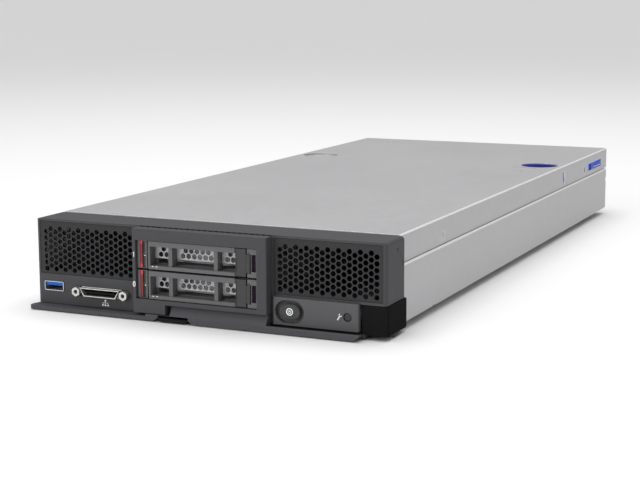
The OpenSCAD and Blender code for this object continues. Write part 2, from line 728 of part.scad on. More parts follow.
module handle_release() {
    color("#2b2b2d") seat() difference() {
        union() {
            along_x(tab_x0, tab_x1) polygon([
                [-lip_out + 0.1, 0.3], [-lip_out + 0.1, 1.9], [-lip_out + 0.8, 2.3], [hinge_y - 1.2, 2.3],
                [hinge_y - 1.2, 0.3]
            ]);
            rod_x(tab_x0, tab_x1, hinge_y, hinge_z, 1.05);
            span([tab_x0, hinge_y - 1.3, 0.35], [tab_x1, hinge_y, 2.25]);
        }
        rod_x(tab_x0 - 1, tab_x1 + 1, hinge_y, hinge_z, 0.65);
        // chamfer at the right end and three grip grooves underneath
        translate([tab_x1, -lip_out - 1, 0]) rotate([-90, 0, 0])
            linear_extrude(6) polygon([[0.1, 0.1], [-2.6, 0.1], [0.1, -2.2]]);
        for (i = [0:2])
            span([tab_x0 - 1, -lip_out + 2 + i * 1.6, 0], [tab_x1 - 4, -lip_out + 2.7 + i * 1.6, 0.6]);
    }
}

module release_hinge_pin() {
    color("silver") seat() rod_x(tab_x0 - 3.3, tab_x1 + 3.3, hinge_y, hinge_z, 0.6);
}

// ---------------------------------------------------------------- drive bay

module drive_cage() {
    x0 = bay_x0 - 0.2;
    x1 = bay_x1 + 0.2;
    z0 = bay_z0 - 0.3;
    z1 = bay_z1 + 0.3;
    mid = tray_z(1) - tray_gap / 2;
    color("gainsboro") seat() difference() {
        union() {
            along_y(cage_y0, cage_rear) difference() {
                translate([x0 - cage_t, z0 - cage_t]) square([x1 - x0 + 2 * cage_t, z1 - z0 + 2 * cage_t]);
                translate([x0, z0]) square([x1 - x0, z1 - z0]);
            }
            // guides between the two trays
            for (x = [x0 - eps, x1 - 3])
                span([x, cage_y0 + 10, mid - 0.3], [x + 3 + eps, cage_rear, mid + 0.3]);
            // feet that stand on the base floor
            for (x = [x0 - cage_t, x1]) span([x, cage_y0 + 24, floor_top], [x + cage_t, cage_rear - 6, z0]);
        }
        // cooling slots in the top and in the sides
        for (i = [0:4], j = [0:3]) translate([x0 + 12 + i * 12.5, cage_y0 + 22 + j * 22, z1 - 1])
            linear_extrude(cage_t + 2) rotate([0, 0, 90]) stadium(14, 5);
        for (j = [0:3], z = [tray_z(0) + 8, tray_z(1) + 8])
            translate([x0 - cage_t - 1, cage_y0 + 22 + j * 22, z]) rotate([90, 0, 90])
                linear_extrude(x1 - x0 + 2 * cage_t + 2) stadium(12, 4);
    }
}

window_x0 = main_x0 + 1.1;
posts = [main_x0 + 12.4, main_x0 + 40.4];
post_gap = 2.5;

module drive_tray(k) {
    z = tray_z(k);
    top = z + tray_h;
    front = -tray_face;
    color("#39393b") seat() difference() {
        union() {
            span([tray_x0, front, z], [tray_x1, 7, top]);
            // side rails and the rear tie
            span([tray_x0, 6.9, z + 1], [tray_x0 + rail_t, disk_y + disk_l, z + 13]);
            span([tray_x1 - rail_t, 6.9, z + 1], [tray_x1, disk_y + disk_l, z + 13]);
            span([tray_x0, disk_y + disk_l - 8, z + 1], [tray_x1, disk_y + disk_l, z + 2]);
        }
        // column for the status strip
        span([tray_x0 - 1, front - 1, z - 1], [tray_x0 + column_w, front + 1, top + 1]);
        span([tray_x0 + 1.5, front, z + 0.3], [tray_x0 + column_w - 1, 0.2, top - 0.3]);
        span([tray_x0 + column_w, front - 1, z - 1], [main_x0, front + 3, top + 1]);
        // air window between the lips
        span([window_x0, front - 1, z + lip_low_h], [main_x1, 0.8, top - lip_top_h]);
        span([window_x0 + 1.5, 0, z + lip_low_h + 0.4], [main_x1 - 1.5, 8, top - lip_top_h - 0.4]);
        // seat of the lever, with an ear above and below its pivot
        difference() {
            span([main_x1, front - 1, z - 1], [lever_pin_x, -2.7, top + 1]);
            translate([lever_pin_x, lever_pin_y, z - 2]) cylinder(r = ear_r, h = tray_h + 4);
        }
        span([lever_pin_x - ear_r - 0.2, front - 1, z + 2], [lever_pin_x + 1.6, -2.7, top - 2.9]);
        span([lever_pin_x - 1.2, front - 1, z - 1], [lever_pin_x + 1.7, lever_pin_y - ear_r, top + 1]);
        translate([lever_pin_x, lever_pin_y, z + 0.2]) cylinder(r = lever_pin_r, h = tray_h - 0.4);
        // pocket of the release
        span([tray_x1 - post_w + 0.4, front - 1, z + 3], [tray_x1 - 0.5, 0.4, z + 12.4]);
        // holes for the screws that hold the drive
        for (y = [14, 90.6]) rod_x(tray_x0 - 1, tray_x1 + 1, disk_y + y, z + 5.6, 1.6);
    }
    color("#4a4a4c") seat() for (x = posts)
        span([x, front + 0.7, z + lip_low_h], [x + 2.3, 0.8, top - lip_top_h]);
}

module drive_tray_0() { drive_tray(0); }
module drive_tray_1() { drive_tray(1); }

module tray_grille(k) {
    z = tray_z(k);
    z0 = z + 5.4;
    z1 = z + tray_h - lip_top_h - 0.1;
    pitch = 3.5;
    r = (pitch - 0.7) / sqrt(3);
    row = z0 + 2.2;
    edges = [
        [window_x0 + 0.2, posts[0] - 0.2], [posts[0] + post_gap, posts[1] - 0.2],
        [posts[1] + post_gap, main_x1 - 0.2]
    ];
    color("#a8a8aa") seat() for (w = edges) along_y(-0.3, 0.4) difference() {
        translate([w[0], z0]) square([w[1] - w[0], z1 - z0]);
        n = floor((w[1] - w[0] - 0.9) / pitch);
        x0 = (w[0] + w[1] - (n - 1) * pitch) / 2;
        for (i = [0:n - 1]) translate([x0 + i * pitch, row]) rotate(30) circle(r, $fn = 6);
        for (i = [0:n - 2]) translate([x0 + (i + 0.5) * pitch, row + pitch * sqrt(3) / 2])
            rotate(30) circle(r, $fn = 6);
    }
}

module tray_grille_0() { tray_grille(0); }
module tray_grille_1() { tray_grille(1); }

module tray_lever(k) {
    z = tray_z(k);
    color("#0c0c0d") seat() difference() {
        union() {
            span([main_x1 + 0.3, -tray_face, z + 0.2], [lever_pin_x - 1.4, -3.4, z + tray_h - 0.2]);
            span([lever_pin_x - 1.5, -tray_face + 0.2, z + 2.3], [lever_pin_x, -3.4, z + tray_h - 3.2]);
            translate([lever_pin_x, lever_pin_y, z + 2.3]) cylinder(r = 1.4, h = tray_h - 5.5);
        }
        translate([lever_pin_x, lever_pin_y, z]) cylinder(r = lever_pin_r + pivot_fit, h = tray_h);
        for (d = [-1, tray_h - 2.9])
            translate([lever_pin_x, lever_pin_y, z + d]) cylinder(r = ear_r + 0.2, h = 3.15);
        // shallow finger scoop at the free edge
        translate([main_x1 - 1.0, -tray_face - 0.6, z + 3]) cylinder(r = 2.2, h = tray_h - 6);
    }
}

module tray_lever_0() { tray_lever(0); }
module tray_lever_1() { tray_lever(1); }

module lever_pin(k) {
    color("silver") seat() translate([lever_pin_x, lever_pin_y, tray_z(k) + 0.2])
        cylinder(r = lever_pin_r, h = tray_h - 0.4);
}

module lever_pin_0() { lever_pin(0); }
module lever_pin_1() { lever_pin(1); }

module tray_release(k) {
    z = tray_z(k);
    color("#2a1f2e") seat() union() {
        span([tray_x1 - post_w + 0.6, -4.8, z + 3.2], [tray_x1 - 0.7, -1, z + 12.2]);
        for (i = [0:3])
            span([tray_x1 - post_w + 0.6, -5.1, z + 4.2 + i * 2], [tray_x1 - 0.7, -4.7, z + 5.2 + i * 2]);
    }
}

module tray_release_0() { tray_release(0); }
module tray_release_1() { tray_release(1); }

module status_strip(k) {
    z = tray_z(k);
    color("darkred") seat() union() {
        span([tray_x0 + 1.7, -4.6, z + 0.5], [tray_x0 + 3, 0, z + tray_h - 0.5]);
        span([tray_x0 + 2.9, -3.9, z + 0.5], [tray_x0 + 4.8, 0, z + tray_h - 0.5]);
        rod_y(tray_x0 + 4, -4.5, -3.8, z + 7.8, 0.7);
    }
}

module status_strip_0() { status_strip(0); }
module status_strip_1() { status_strip(1); }

module disk(k) {
    z = tray_z(k) + 2.4;
    x0 = disk_x - disk_w / 2;
    color("slategray") seat() difference() {
        union() {
            span([x0, disk_y, z], [x0 + disk_w, disk_y + disk_l, z + disk_h - 0.8]);
            span([x0 + 1.5, disk_y + 2, z + disk_h - 1],
                [x0 + disk_w - 1.5, disk_y + disk_l - 9, z + disk_h]);
        }
        // plug recess with its blade left standing
        difference() {
            span([disk_x - 18, disk_y + disk_l - 4, z - 1], [disk_x + 20, disk_y + disk_l + 1, z + 5]);
            span([disk_x - 16, disk_y + disk_l - 5, z + 1.4], [disk_x + 18, disk_y + disk_l - 0.5, z + 2.8]);
        }
        for (y = [14, 90.6]) rod_x(x0 - 1, x0 + disk_w + 1, disk_y + y, z + 3.2, 1.5);
    }
}

module disk_0() { disk(0); }
module disk_1() { disk(1); }

module disk_screws(k) {
    z = tray_z(k) + 5.6;
    color("silver") seat() for (y = [14, 90.6], s = [-1, 1])
        translate([disk_x, disk_y + y, z]) rotate([0, s * 90, 0])
            translate([0, 0, disk_w / 2 - 3]) difference() {
                cylinder(r = 1.45, h = (tray_w - disk_w) / 2 + 2.7);
                translate([0, 0, (tray_w - disk_w) / 2 + 2]) cylinder(r = 0.8, h = 2, $fn = 6);
            }
}

module disk_screws_0() { disk_screws(0); }
module disk_screws_1() { disk_screws(1); }

module drive_backplane() {
    y = cage_rear + 2;
    color("darkgreen") seat() difference() {
        union() {
            span([bay_x0 - 3, y, floor_top], [bay_x1 + 3, y + 1.6, bay_z1 + 2]);
            for (i = [0:3]) span([bay_x0 + 6 + i * 17, y + 1.5, 18], [bay_x0 + 14 + i * 17, y + 3, 24]);
            span([bay_x0 + 10, y + 1.5, 30], [bay_x1 - 10, y + 6, 38]);
        }
        for (x = [bay_x0, bay_x1]) rod_y(x, y - 1, y + 4, bay_z1 - 2, 1.7);
        for (i = [0:3]) translate([bay_x0 + 15 + i * 15, y + 1, bay_z1 - 2]) rotate([90, 0, 0])
            translate([0, 0, -3]) linear_extrude(6) stadium(9, 3);
    }
}

module backplane_sockets() {
    y = cage_rear + 2;
    color("black") seat() for (k = [0, 1]) difference() {
        span([disk_x - 17.5, disk_y + disk_l + 0.3, tray_z(k) + 2.6], [disk_x + 19.5, y, tray_z(k) + 7.2]);
        span([disk_x - 16.3, disk_y + disk_l, tray_z(k) + 3.6], [disk_x + 18.3, y - 2, tray_z(k) + 5.4]);
    }
}

// ---------------------------------------------------------------- boards and what they carry

module system_board() {
    color("darkgreen") seat() difference() {
        span([-base_half + 5.5, board_y0, board_z], [base_half - 5.5, board_y1, board_top]);
        for (p = standoffs) translate([p[0], p[1], board_z - 1]) cylinder(r = 1.7, h = 4);
        span([-14, board_y0 - 1, board_z - 1], [14, board_y0 + 5, board_top + 1]);
        for (s = [0, 1]) mirror([s, 0, 0])
            span([guide_x - 10, rear_y - 14, board_z - 1], [base_half + 1, board_y1 + 1, board_top + 1]);
    }
}

module board_standoffs() {
    color("silver") seat() for (p = standoffs) translate([p[0], p[1], floor_top]) difference() {
        cylinder(r = 3, h = board_z - floor_top, $fn = 6);
        translate([0, 0, 0.5]) cylinder(r = 1.5, h = 8);
    }
}

module board_screws() {
    color("silver") seat() for (p = standoffs) translate([p[0], p[1], 0]) difference() {
        union() {
            translate([0, 0, floor_top + 1]) cylinder(r = 1.45, h = board_top - floor_top);
            translate([0, 0, board_top]) cylinder(r1 = 2.7, r2 = 2.1, h = 1.7);
        }
        translate([0, 0, board_top + 0.8]) cylinder(r = 1, h = 2, $fn = 6);
    }
}

socket_top = board_top + 5.4;

module processor_sockets() {
    color("#202022") seat() for (b = [0, 1]) translate([0, bank_y(b), board_top]) difference() {
        translate([0, 0, 0]) linear_extrude(5.4) round_rect([-38, -46], [38, 46], 3);
        translate([0, 0, 2]) linear_extrude(5) round_rect([-29, -38], [29, 38], 2);
        for (s = [-1, 1]) translate([s * 33, 0, 2]) linear_extrude(5) round_rect([-2.5, -30], [2.5, 30], 2);
    }
}

module processors() {
    color("silver") seat() for (b = [0, 1]) translate([0, bank_y(b), 0]) {
        translate([0, 0, board_top + 2]) linear_extrude(2.2) round_rect([-28, -37], [28, 37], 1.5);
        translate([0, 0, board_top + 4.1])
            linear_extrude(socket_top - board_top - 4.1) round_rect([-25, -33], [25, 33], 2);
    }
}

module heat_sinks() {
    fins = 27;
    pitch = (sink_w - 0.8) / (fins - 1);
    top = node_h - cover_t - pocket_deep - 3.6;
    color("gainsboro") seat() for (b = [0, 1]) difference() {
        union() {
            translate([0, bank_y(b), socket_top])
                linear_extrude(4) round_rect([-sink_w / 2, -sink_l / 2], [sink_w / 2, sink_l / 2], 2);
            along_y(bank_y(b) - sink_l / 2 + 3, bank_y(b) + sink_l / 2 - 3)
                for (i = [0:fins - 1])
                    translate([-sink_w / 2 + i * pitch, socket_top + 3.9])
                        square([0.8, top - socket_top - 3.9]);
        }
        // room for the four captive screws
        for (x = [-1, 1], y = [-1, 1])
            translate([x * (sink_w / 2 - 6), bank_y(b) + y * (sink_l / 2 - 7), socket_top - 1])
                cylinder(r = 4.5, h = node_h);
    }
}

function dimm_xs() = [for (s = [-1, 1], i = [0:dimm_n - 1]) s * (dimm_x0 + i * dimm_pitch)];

module memory_sockets() {
    color("#151517") seat() for (b = [0, 1], x = dimm_xs())
        translate([x, bank_y(b), board_top]) difference() {
        union() {
            span([-3, -dimm_l / 2 - 4, 0], [3, dimm_l / 2 + 4, 8]);
            for (s = [-1, 1]) translate([0, s * (dimm_l / 2 + 2.6), 4]) span([-2.4, -1.3, 0], [2.4, 1.3, 15]);
        }
        span([-0.9, -dimm_l / 2 - 0.4, 2], [0.9, dimm_l / 2 + 0.4, 9]);
    }
}

module memory_modules() {
    top = min(board_top + 2.2 + 31.25, node_h - cover_t - pocket_deep - 3);
    color("#1d5a32") seat() for (b = [0, 1], x = dimm_xs()) translate([x, bank_y(b), 0]) union() {
        span([-0.7, -dimm_l / 2, board_top + 2.2], [0.7, dimm_l / 2, top]);
        for (i = [-4:4]) span([0.6, i * 14 - 5, top - 17], [1.7, i * 14 + 5, top - 5]);
    }
}

module chipset_sink() {
    x = -16;
    y = rear_y - 40;
    color("silver") seat() union() {
        span([x - 15, y - 15, board_top], [x + 15, y + 15, board_top + 4]);
        along_y(y - 15, y + 15) for (i = [0:9])
            translate([x - 15 + i * 3.2, board_top + 3.9]) square([1.1, 7]);
    }
}

module coin_cell() {
    color("gainsboro") seat() translate([-27, rear_y - 68, board_top]) union() {
        cylinder(r = 10, h = 3.2);
        translate([0, 0, 3.1]) cylinder(r = 8.8, h = 0.4);
    }
}

module boot_module() {
    x = 20;
    y = rear_y - 64;
    color("darkgreen") seat() union() {
        span([x - 11, y, board_top + 4], [x + 11, y + 42, board_top + 5]);
        span([x - 8, y + 4, board_top + 4.9], [x + 8, y + 18, board_top + 6.3]);
        span([x - 7, y + 22, board_top + 4.9], [x + 7, y + 36, board_top + 6.3]);
        span([x - 11, y - 2, board_top], [x + 11, y + 4, board_top + 7]);
        translate([x, y + 40, board_top]) cylinder(r = 2, h = 4.1);
    }
}

card_y0 = rear_y - 52;
card_z = board_top + 12;

module io_cards() {
    color("darkgreen") seat() for (s = [0, 1]) mirror([s, 0, 0]) union() {
        span([fabric_x - 32, card_y0, card_z], [fabric_x + 25, rear_y - 4, card_z + board_t]);
        span([fabric_x - 17, card_y0 + 6, card_z + board_t - eps],
            [fabric_x + 17, card_y0 + 28, card_z + 4.5]);
        for (i = [0:7])
            span([fabric_x - 17 + i * 4.7, card_y0 + 6, card_z + 4.4],
                [fabric_x - 15.9 + i * 4.7, card_y0 + 28, card_z + 14]);
    }
}

module io_risers() {
    color("#151517") seat() for (s = [0, 1]) mirror([s, 0, 0]) union() {
        span([fabric_x - 24, card_y0 + 4, board_top], [fabric_x - 18, card_y0 + 32, card_z]);
        span([fabric_x + 18, card_y0 + 4, board_top], [fabric_x + 24, card_y0 + 32, card_z]);
    }
}

module fabric_connectors() {
    z0 = card_z - 8;
    z1 = card_z + 15;
    color("#19191b") seat() for (s = [0, 1]) mirror([s, 0, 0]) difference() {
        union() {
            span([fabric_x - fabric_w / 2, rear_y - 4, z0], [fabric_x + fabric_w / 2, rear_y + 7, z1]);
            span([fabric_x - fabric_w / 2 - 2, rear_y - 3.9, z0 + 2],
                [fabric_x + fabric_w / 2 + 2, rear_y - 1.4, z1 - 2]);
        }
        // columns of contact slots
        for (i = [0:9])
            span([fabric_x - 18.6 + i * 4, rear_y + 4, z0 + 2.5],
                [fabric_x - 17.4 + i * 4, rear_y + 8, z1 - 2.5]);
        // keying slots along the top and the bottom
        for (x = [-14, 0, 14], z = [z0 - 1, z1 - 1])
            span([fabric_x + x - 1.5, rear_y + 1, z], [fabric_x + x + 1.5, rear_y + 8, z + 2]);
    }
}

module power_connector() {
    z0 = board_top;
    color("#19191b") seat() difference() {
        union() {
            span([-24, rear_y - 14, z0], [24, rear_y + 6, z0 + 15]);
            span([-27, rear_y - 13.9, z0], [27, rear_y - 1.4, z0 + 6]);
        }
        for (i = [0:3]) span([-20 + i * 6, rear_y + 1, z0 + 2.5], [-17.6 + i * 6, rear_y + 7, z0 + 12.5]);
        for (i = [0:5], j = [0:2])
            span([5 + i * 3, rear_y + 3, z0 + 3 + j * 3.6], [6.4 + i * 3, rear_y + 7, z0 + 4.4 + j * 3.6]);
    }
}

guide_x = half_w - 14;
guide_z = 22;
guide_r = 3;

module guide_blocks() {
    color("gray") seat() for (s = [0, 1]) mirror([s, 0, 0]) difference() {
        union() {
            along_y(rear_y - 12, rear_y + 4)
                round_rect([guide_x - 6, floor_top], [guide_x + 6, guide_z + 7], 1);
            span([guide_x - 9, rear_y - 12, floor_top], [guide_x + 9, rear_y - 2, floor_top + 3]);
        }
        rod_y(guide_x, rear_y - 10, rear_y + 3, guide_z, guide_r);
        translate([guide_x, rear_y + 2, guide_z]) rotate([-90, 0, 0])
            cylinder(r1 = guide_r, r2 = guide_r + 2.1, h = 2.1);
    }
}

module rear_panel() {
    y = rear_y - 1.2;
    z1 = tier_top - 1.8;
    color("lightgray") seat() along_y(y, y + 1.2) difference() {
        union() {
            translate([-base_half + base_t, floor_top])
                square([2 * (base_half - base_t), ledge_z - base_t - floor_top]);
            translate([-tier_half + 6, floor_top]) square([2 * (tier_half - 6), z1 - floor_top]);
        }
        translate([-24.4, floor_top + 3]) square([48.8, board_top + 15.4 - floor_top - 3]);
        for (s = [-1, 1]) {
            translate([s * fabric_x - fabric_w / 2 - 0.4, card_z - 8.4]) square([fabric_w + 0.8, 23.8]);
            translate([s * guide_x - 6.3, floor_top - 1]) square([12.6, guide_z + 8.3 - floor_top]);
        }
        hex_field([-tier_half + 8, card_z + 16], [tier_half - 8, z1 - 0.6], 5.2, 1.2);
        hex_field([-34, board_top + 17], [34, card_z + 15.6], 5.2, 1.2);
        translate([-34, floor_top + 3]) hex_strip();
        translate([29, floor_top + 3]) hex_strip();
    }
}

// one narrow column of holes beside the power connector
module hex_strip() { hex_field([-1, 0], [6, 20], 5.2, 1.2); }

module air_baffle() {
    color("#3c3c40") seat() for (s = [0, 1]) mirror([s, 0, 0]) union() {
        span([sink_w / 2 + 1, bank_y(0) - sink_l / 2, board_top + 9.2],
            [sink_w / 2 + 2.2, bank_y(1) + sink_l / 2, tier_top - 3.4]);
        span([dimm_x0 - 3, bank_y(0) + dimm_l / 2 + 4.6, board_top + 9.2],
            [base_half - 6, bank_y(0) + dimm_l / 2 + 6, tier_top - 6]);
        span([sink_w / 2 + 2.1, bank_y(0) + dimm_l / 2 + 4.6, board_top + 9.2],
            [dimm_x0 - 2.9, bank_y(0) + dimm_l / 2 + 6, tier_top - 6]);
    }
}

chassis_base();
top_cover();
cover_latch();
touch_pad();
front_bezel();
intake_grille_left();
intake_grille_right();
operator_panel();
power_button();
reset_button();
panel_board();
usb_shell();
usb_tongue();
console_shell();
console_insert();
console_jacks();
front_io_board();
front_handle();
handle_cam();
handle_pin();
handle_release();
release_hinge_pin();
drive_cage();
drive_tray_0();
drive_tray_1();
tray_grille_0();
tray_grille_1();
tray_lever_0();
tray_lever_1();
lever_pin_0();
lever_pin_1();
tray_release_0();
tray_release_1();
status_strip_0();
status_strip_1();
disk_0();
disk_1();
disk_screws_0();
disk_screws_1();
drive_backplane();
backplane_sockets();
system_board();
board_standoffs();
board_screws();
processor_sockets();
processors();
heat_sinks();
memory_sockets();
memory_modules();
chipset_sink();
coin_cell();
boot_module();
io_cards();
io_risers();
fabric_connectors();
power_connector();
guide_blocks();
rear_panel();
bezel_screws();
air_baffle();
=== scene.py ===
"""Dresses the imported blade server: finishes, fine details, studio light and camera."""
import logging
import math
from dataclasses import dataclass, field
from enum import Enum
from typing import Sequence, Union

import bmesh
import bpy
from mathutils import Matrix, Vector


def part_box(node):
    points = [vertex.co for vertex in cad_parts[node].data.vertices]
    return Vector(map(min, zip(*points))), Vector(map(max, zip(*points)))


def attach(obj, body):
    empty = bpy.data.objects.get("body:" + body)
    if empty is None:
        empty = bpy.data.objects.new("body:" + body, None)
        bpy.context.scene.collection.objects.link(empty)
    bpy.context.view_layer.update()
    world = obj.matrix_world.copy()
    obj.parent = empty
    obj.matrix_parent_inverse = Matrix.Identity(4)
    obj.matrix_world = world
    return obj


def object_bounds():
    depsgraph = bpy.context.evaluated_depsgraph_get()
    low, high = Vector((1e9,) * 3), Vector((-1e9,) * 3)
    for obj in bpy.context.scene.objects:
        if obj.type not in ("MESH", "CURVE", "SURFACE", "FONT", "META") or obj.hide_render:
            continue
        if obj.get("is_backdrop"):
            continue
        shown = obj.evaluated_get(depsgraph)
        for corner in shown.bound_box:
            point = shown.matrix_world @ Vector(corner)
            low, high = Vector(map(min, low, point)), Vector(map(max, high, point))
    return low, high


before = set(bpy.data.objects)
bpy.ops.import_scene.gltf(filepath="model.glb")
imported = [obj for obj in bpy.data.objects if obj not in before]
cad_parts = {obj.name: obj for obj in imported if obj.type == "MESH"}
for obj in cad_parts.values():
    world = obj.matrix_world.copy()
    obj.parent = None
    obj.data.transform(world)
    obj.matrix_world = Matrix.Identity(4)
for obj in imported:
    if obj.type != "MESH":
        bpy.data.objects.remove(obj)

log = logging.getLogger("blade")

MM = 0.001
BEVEL_SAMPLES = 6
WELD = 1e-5
CREASE = 40.0
Point = tuple[float, float]
Colour = tuple[float, float, float]
Number = Union[int, float]


# ---------------------------------------------------------------- shader graph


class Wire:
    """One output of a shader node, with arithmetic that adds the Math nodes."""

    def __init__(self, graph: "Graph", socket: bpy.types.NodeSocket) -> None:
        """Holds a socket.

        Args:
            graph: the graph that the socket belongs to.
            socket: the output that carries the value.
        """
        self.graph = graph
        self.socket = socket

    def _math(self, operation: str, *terms: "Term") -> "Wire":
        """Adds a Math node.

        Args:
            operation: the Math node's operation.
            *terms: its inputs in order, wires or numbers.

        Returns:
            The node's value.
        """
        node = self.graph.node("ShaderNodeMath", {"operation": operation}, dict(enumerate(terms)))
        return Wire(self.graph, node.outputs[0])

    def __add__(self, other: "Term") -> "Wire":
        """Sum."""
        return self._math("ADD", self, other)

    def __radd__(self, other: "Term") -> "Wire":
        """Sum, number first."""
        return self._math("ADD", other, self)

    def __sub__(self, other: "Term") -> "Wire":
        """Difference."""
        return self._math("SUBTRACT", self, other)

    def __rsub__(self, other: "Term") -> "Wire":
        """Difference, number first."""
        return self._math("SUBTRACT", other, self)

    def __mul__(self, other: "Term") -> "Wire":
        """Product."""
        return self._math("MULTIPLY", self, other)

    def __rmul__(self, other: "Term") -> "Wire":
        """Product, number first."""
        return self._math("MULTIPLY", other, self)

    def __truediv__(self, other: "Term") -> "Wire":
        """Quotient."""
        return self._math("DIVIDE", self, other)

    def above(self, limit: "Term") -> "Wire":
        """One where the value passes the limit, and nought elsewhere."""
        return self._math("GREATER_THAN", self, limit)

    def most(self, other: "Term") -> "Wire":
        """The larger of two values."""
        return self._math("MAXIMUM", self, other)

    def size(self) -> "Wire":
        """The value without its sign."""
        return self._math("ABSOLUTE", self)

    def fraction(self) -> "Wire":
        """The part of the value after its point."""
        return self._math("FRACT", self)

    def step(self, low: Number, high: Number) -> "Wire":
        """Smooth rise from nought at low to one at high.

        Args:
            low: where the rise starts.
            high: where it ends.

        Returns:
            The eased value.
        """
        node = self.graph.node(
            "ShaderNodeMapRange",
            {"interpolation_type": "SMOOTHSTEP"},
            {"Value": self, "From Min": low, "From Max": high},
        )
        return Wire(self.graph, node.outputs[0])


Term = Union[Wire, Number]


class Graph:
    """The nodes of one material, or of the studio's surround."""

    def __init__(self, owner: Union[bpy.types.Material, bpy.types.World]) -> None:
        """Empties the owner's node tree and takes it over."""
        owner.use_nodes = True
        self.tree = owner.node_tree
        self.tree.nodes.clear()
        self._coord: bpy.types.Node | None = None

    def node(
        self,
        kind: str,
        settings: dict[str, object] | None = None,
        sockets: dict[str | int, object] | None = None,
    ) -> bpy.types.Node:
        """Adds any node.

        Args:
            kind: the node's type.
            settings: its properties, set before the sockets.
            sockets: values or wires by socket name or number.

        Returns:
            The new node.
        """
        made = self.tree.nodes.new(kind)
        for key, value in (settings or {}).items():
            setattr(made, key, value)
        for key, value in (sockets or {}).items():
            self.feed(made.inputs[key], value)
        return made

    def feed(self, socket: bpy.types.NodeSocket, value: object) -> None:
        """Links a wire to a socket, or sets the socket's own value.

        Args:
            socket: the input.
            value: a wire, a number, a vector or a colour.
        """
        if isinstance(value, Wire):
            self.tree.links.new(value.socket, socket)
        elif socket.type == "RGBA" and len(value) == 3:
            socket.default_value = (*value, 1.0)
        else:
            socket.default_value = value

    def place(self, kind: str = "Object") -> Wire:
        """The surface point in metres in its own body's frame, or another coordinate.

        Args:
            kind: the coordinate wanted.

        Returns:
            The coordinate.
        """
        if self._coord is None:
            self._coord = self.node("ShaderNodeTexCoord")
        return Wire(self, self._coord.outputs[kind])

    def facing(self) -> tuple[Wire, Wire, Wire]:
        """The surface's own outward direction, as three parts."""
        return self.parts(self.place("Normal"))

    def millimetres(self) -> tuple[Wire, Wire, Wire]:
        """The surface point's three parts in millimetres."""
        return self.parts(self.stretched((1000.0, 1000.0, 1000.0)))

    def parts(self, vector: Wire) -> tuple[Wire, Wire, Wire]:
        """The three parts of a vector."""
        made = self.node("ShaderNodeSeparateXYZ", None, {0: vector})
        return tuple(Wire(self, out) for out in made.outputs)

    def stretched(self, scale: Sequence[float]) -> Wire:
        """The surface point scaled on each axis, for a grain with a direction."""
        made = self.node(
            "ShaderNodeVectorMath", {"operation": "MULTIPLY"}, {0: self.place(), 1: tuple(scale)}
        )
        return Wire(self, made.outputs[0])

    def noise(
        self, size: float, detail: float = 3.0, along: Sequence[float] = (1, 1, 1)
    ) -> Wire:
        """Cloudy noise from nought to one.

        Args:
            size: the width of its patches in millimetres.
            detail: how many finer layers it has.
            along: how closely it is packed on each axis.

        Returns:
            The noise value.
        """
        made = self.node(
            "ShaderNodeTexNoise",
            None,
            {"Vector": self.stretched(along), "Scale": 1000.0 / size, "Detail": detail},
        )
        return Wire(self, made.outputs[0])

    def cells(self, size: float, output: str = "Color") -> Wire:
        """Random cells.

        Args:
            size: the width of a cell in millimetres.
            output: the output wanted, such as Color or Distance.

        Returns:
            That output, the colour as its first part.
        """
        made = self.node(
            "ShaderNodeTexVoronoi", None, {"Vector": self.place(), "Scale": 1000.0 / size}
        )
        wire = Wire(self, made.outputs[output])
        return self.parts(wire)[0] if output == "Color" else wire

    def rounded(self, radius: float) -> Wire:
        """The surface direction with the edges rounded to a radius in millimetres."""
        made = self.node("ShaderNodeBevel", {"samples": BEVEL_SAMPLES}, {"Radius": radius * MM})
        return Wire(self, made.outputs[0])

    def edges(self, width: float) -> Wire:
        """One on a sharp edge, fading to nought.

        Args:
            width: how far the edge reaches, in millimetres.

        Returns:
            The edge value.
        """
        true = self.node("ShaderNodeNewGeometry")
        dot = self.node(
            "ShaderNodeVectorMath",
            {"operation": "DOT_PRODUCT"},
            {0: self.rounded(width), 1: Wire(self, true.outputs["Normal"])},
        )
        return (1.0 - Wire(self, dot.outputs["Value"])).step(0.01, 0.2)

    def mix(self, share: Term, first: object, second: object) -> Wire:
        """Blends two colours.

        Args:
            share: how much of the second.
            first: a colour or wire.
            second: a colour or wire.

        Returns:
            The blended colour.
        """
        made = self.node(
            "ShaderNodeMix", {"data_type": "RGBA"}, {0: share, 6: first, 7: second}
        )
        return Wire(self, made.outputs[2])

    def bump(self, height: Wire, depth: float, softened: float = 0.0) -> Wire:
        """A surface direction disturbed by a height.

        Args:
            height: the height value.
            depth: the relief in millimetres.
            softened: radius that rounds the solid's edges, in millimetres.

        Returns:
            The disturbed direction.
        """
        sockets: dict[str | int, object] = {
            "Height": height, "Distance": depth * MM, "Strength": 1.0
        }
        if softened:
            sockets["Normal"] = self.rounded(softened)
        return Wire(self, self.node("ShaderNodeBump", None, sockets).outputs[0])

    def surface(self, **sockets: object) -> None:
        """Ends the material in a shader whose sockets are named with underscores."""
        named = {key.replace("_", " "): value for key, value in sockets.items()}
        shader = self.node("ShaderNodeBsdfPrincipled", None, named)
        self.node("ShaderNodeOutputMaterial", None, {0: Wire(self, shader.outputs[0])})


# -------------------------------------------------------------------- finishes


@dataclass(frozen=True)
class Finish:
    """A named finish, made once and shared."""

    name: str

    def paint(self, graph: Graph) -> None:
        """Lays the finish down in a graph."""
        raise NotImplementedError

    def material(self) -> bpy.types.Material:
        """The material, made at its first use."""
        found = bpy.data.materials.get(self.name)
        if found is None:
            found = bpy.data.materials.new(self.name)
            self.paint(Graph(found))
        return found

    def cover(self, *nodes: str) -> None:
        """Gives the finish to CAD nodes.

        Args:
            *nodes: the nodes' names.
        """
        for name in nodes:
            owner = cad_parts[name]
            if not owner.material_slots:
                owner.data.materials.append(None)
            for held in owner.material_slots:
                held.material = self.material()


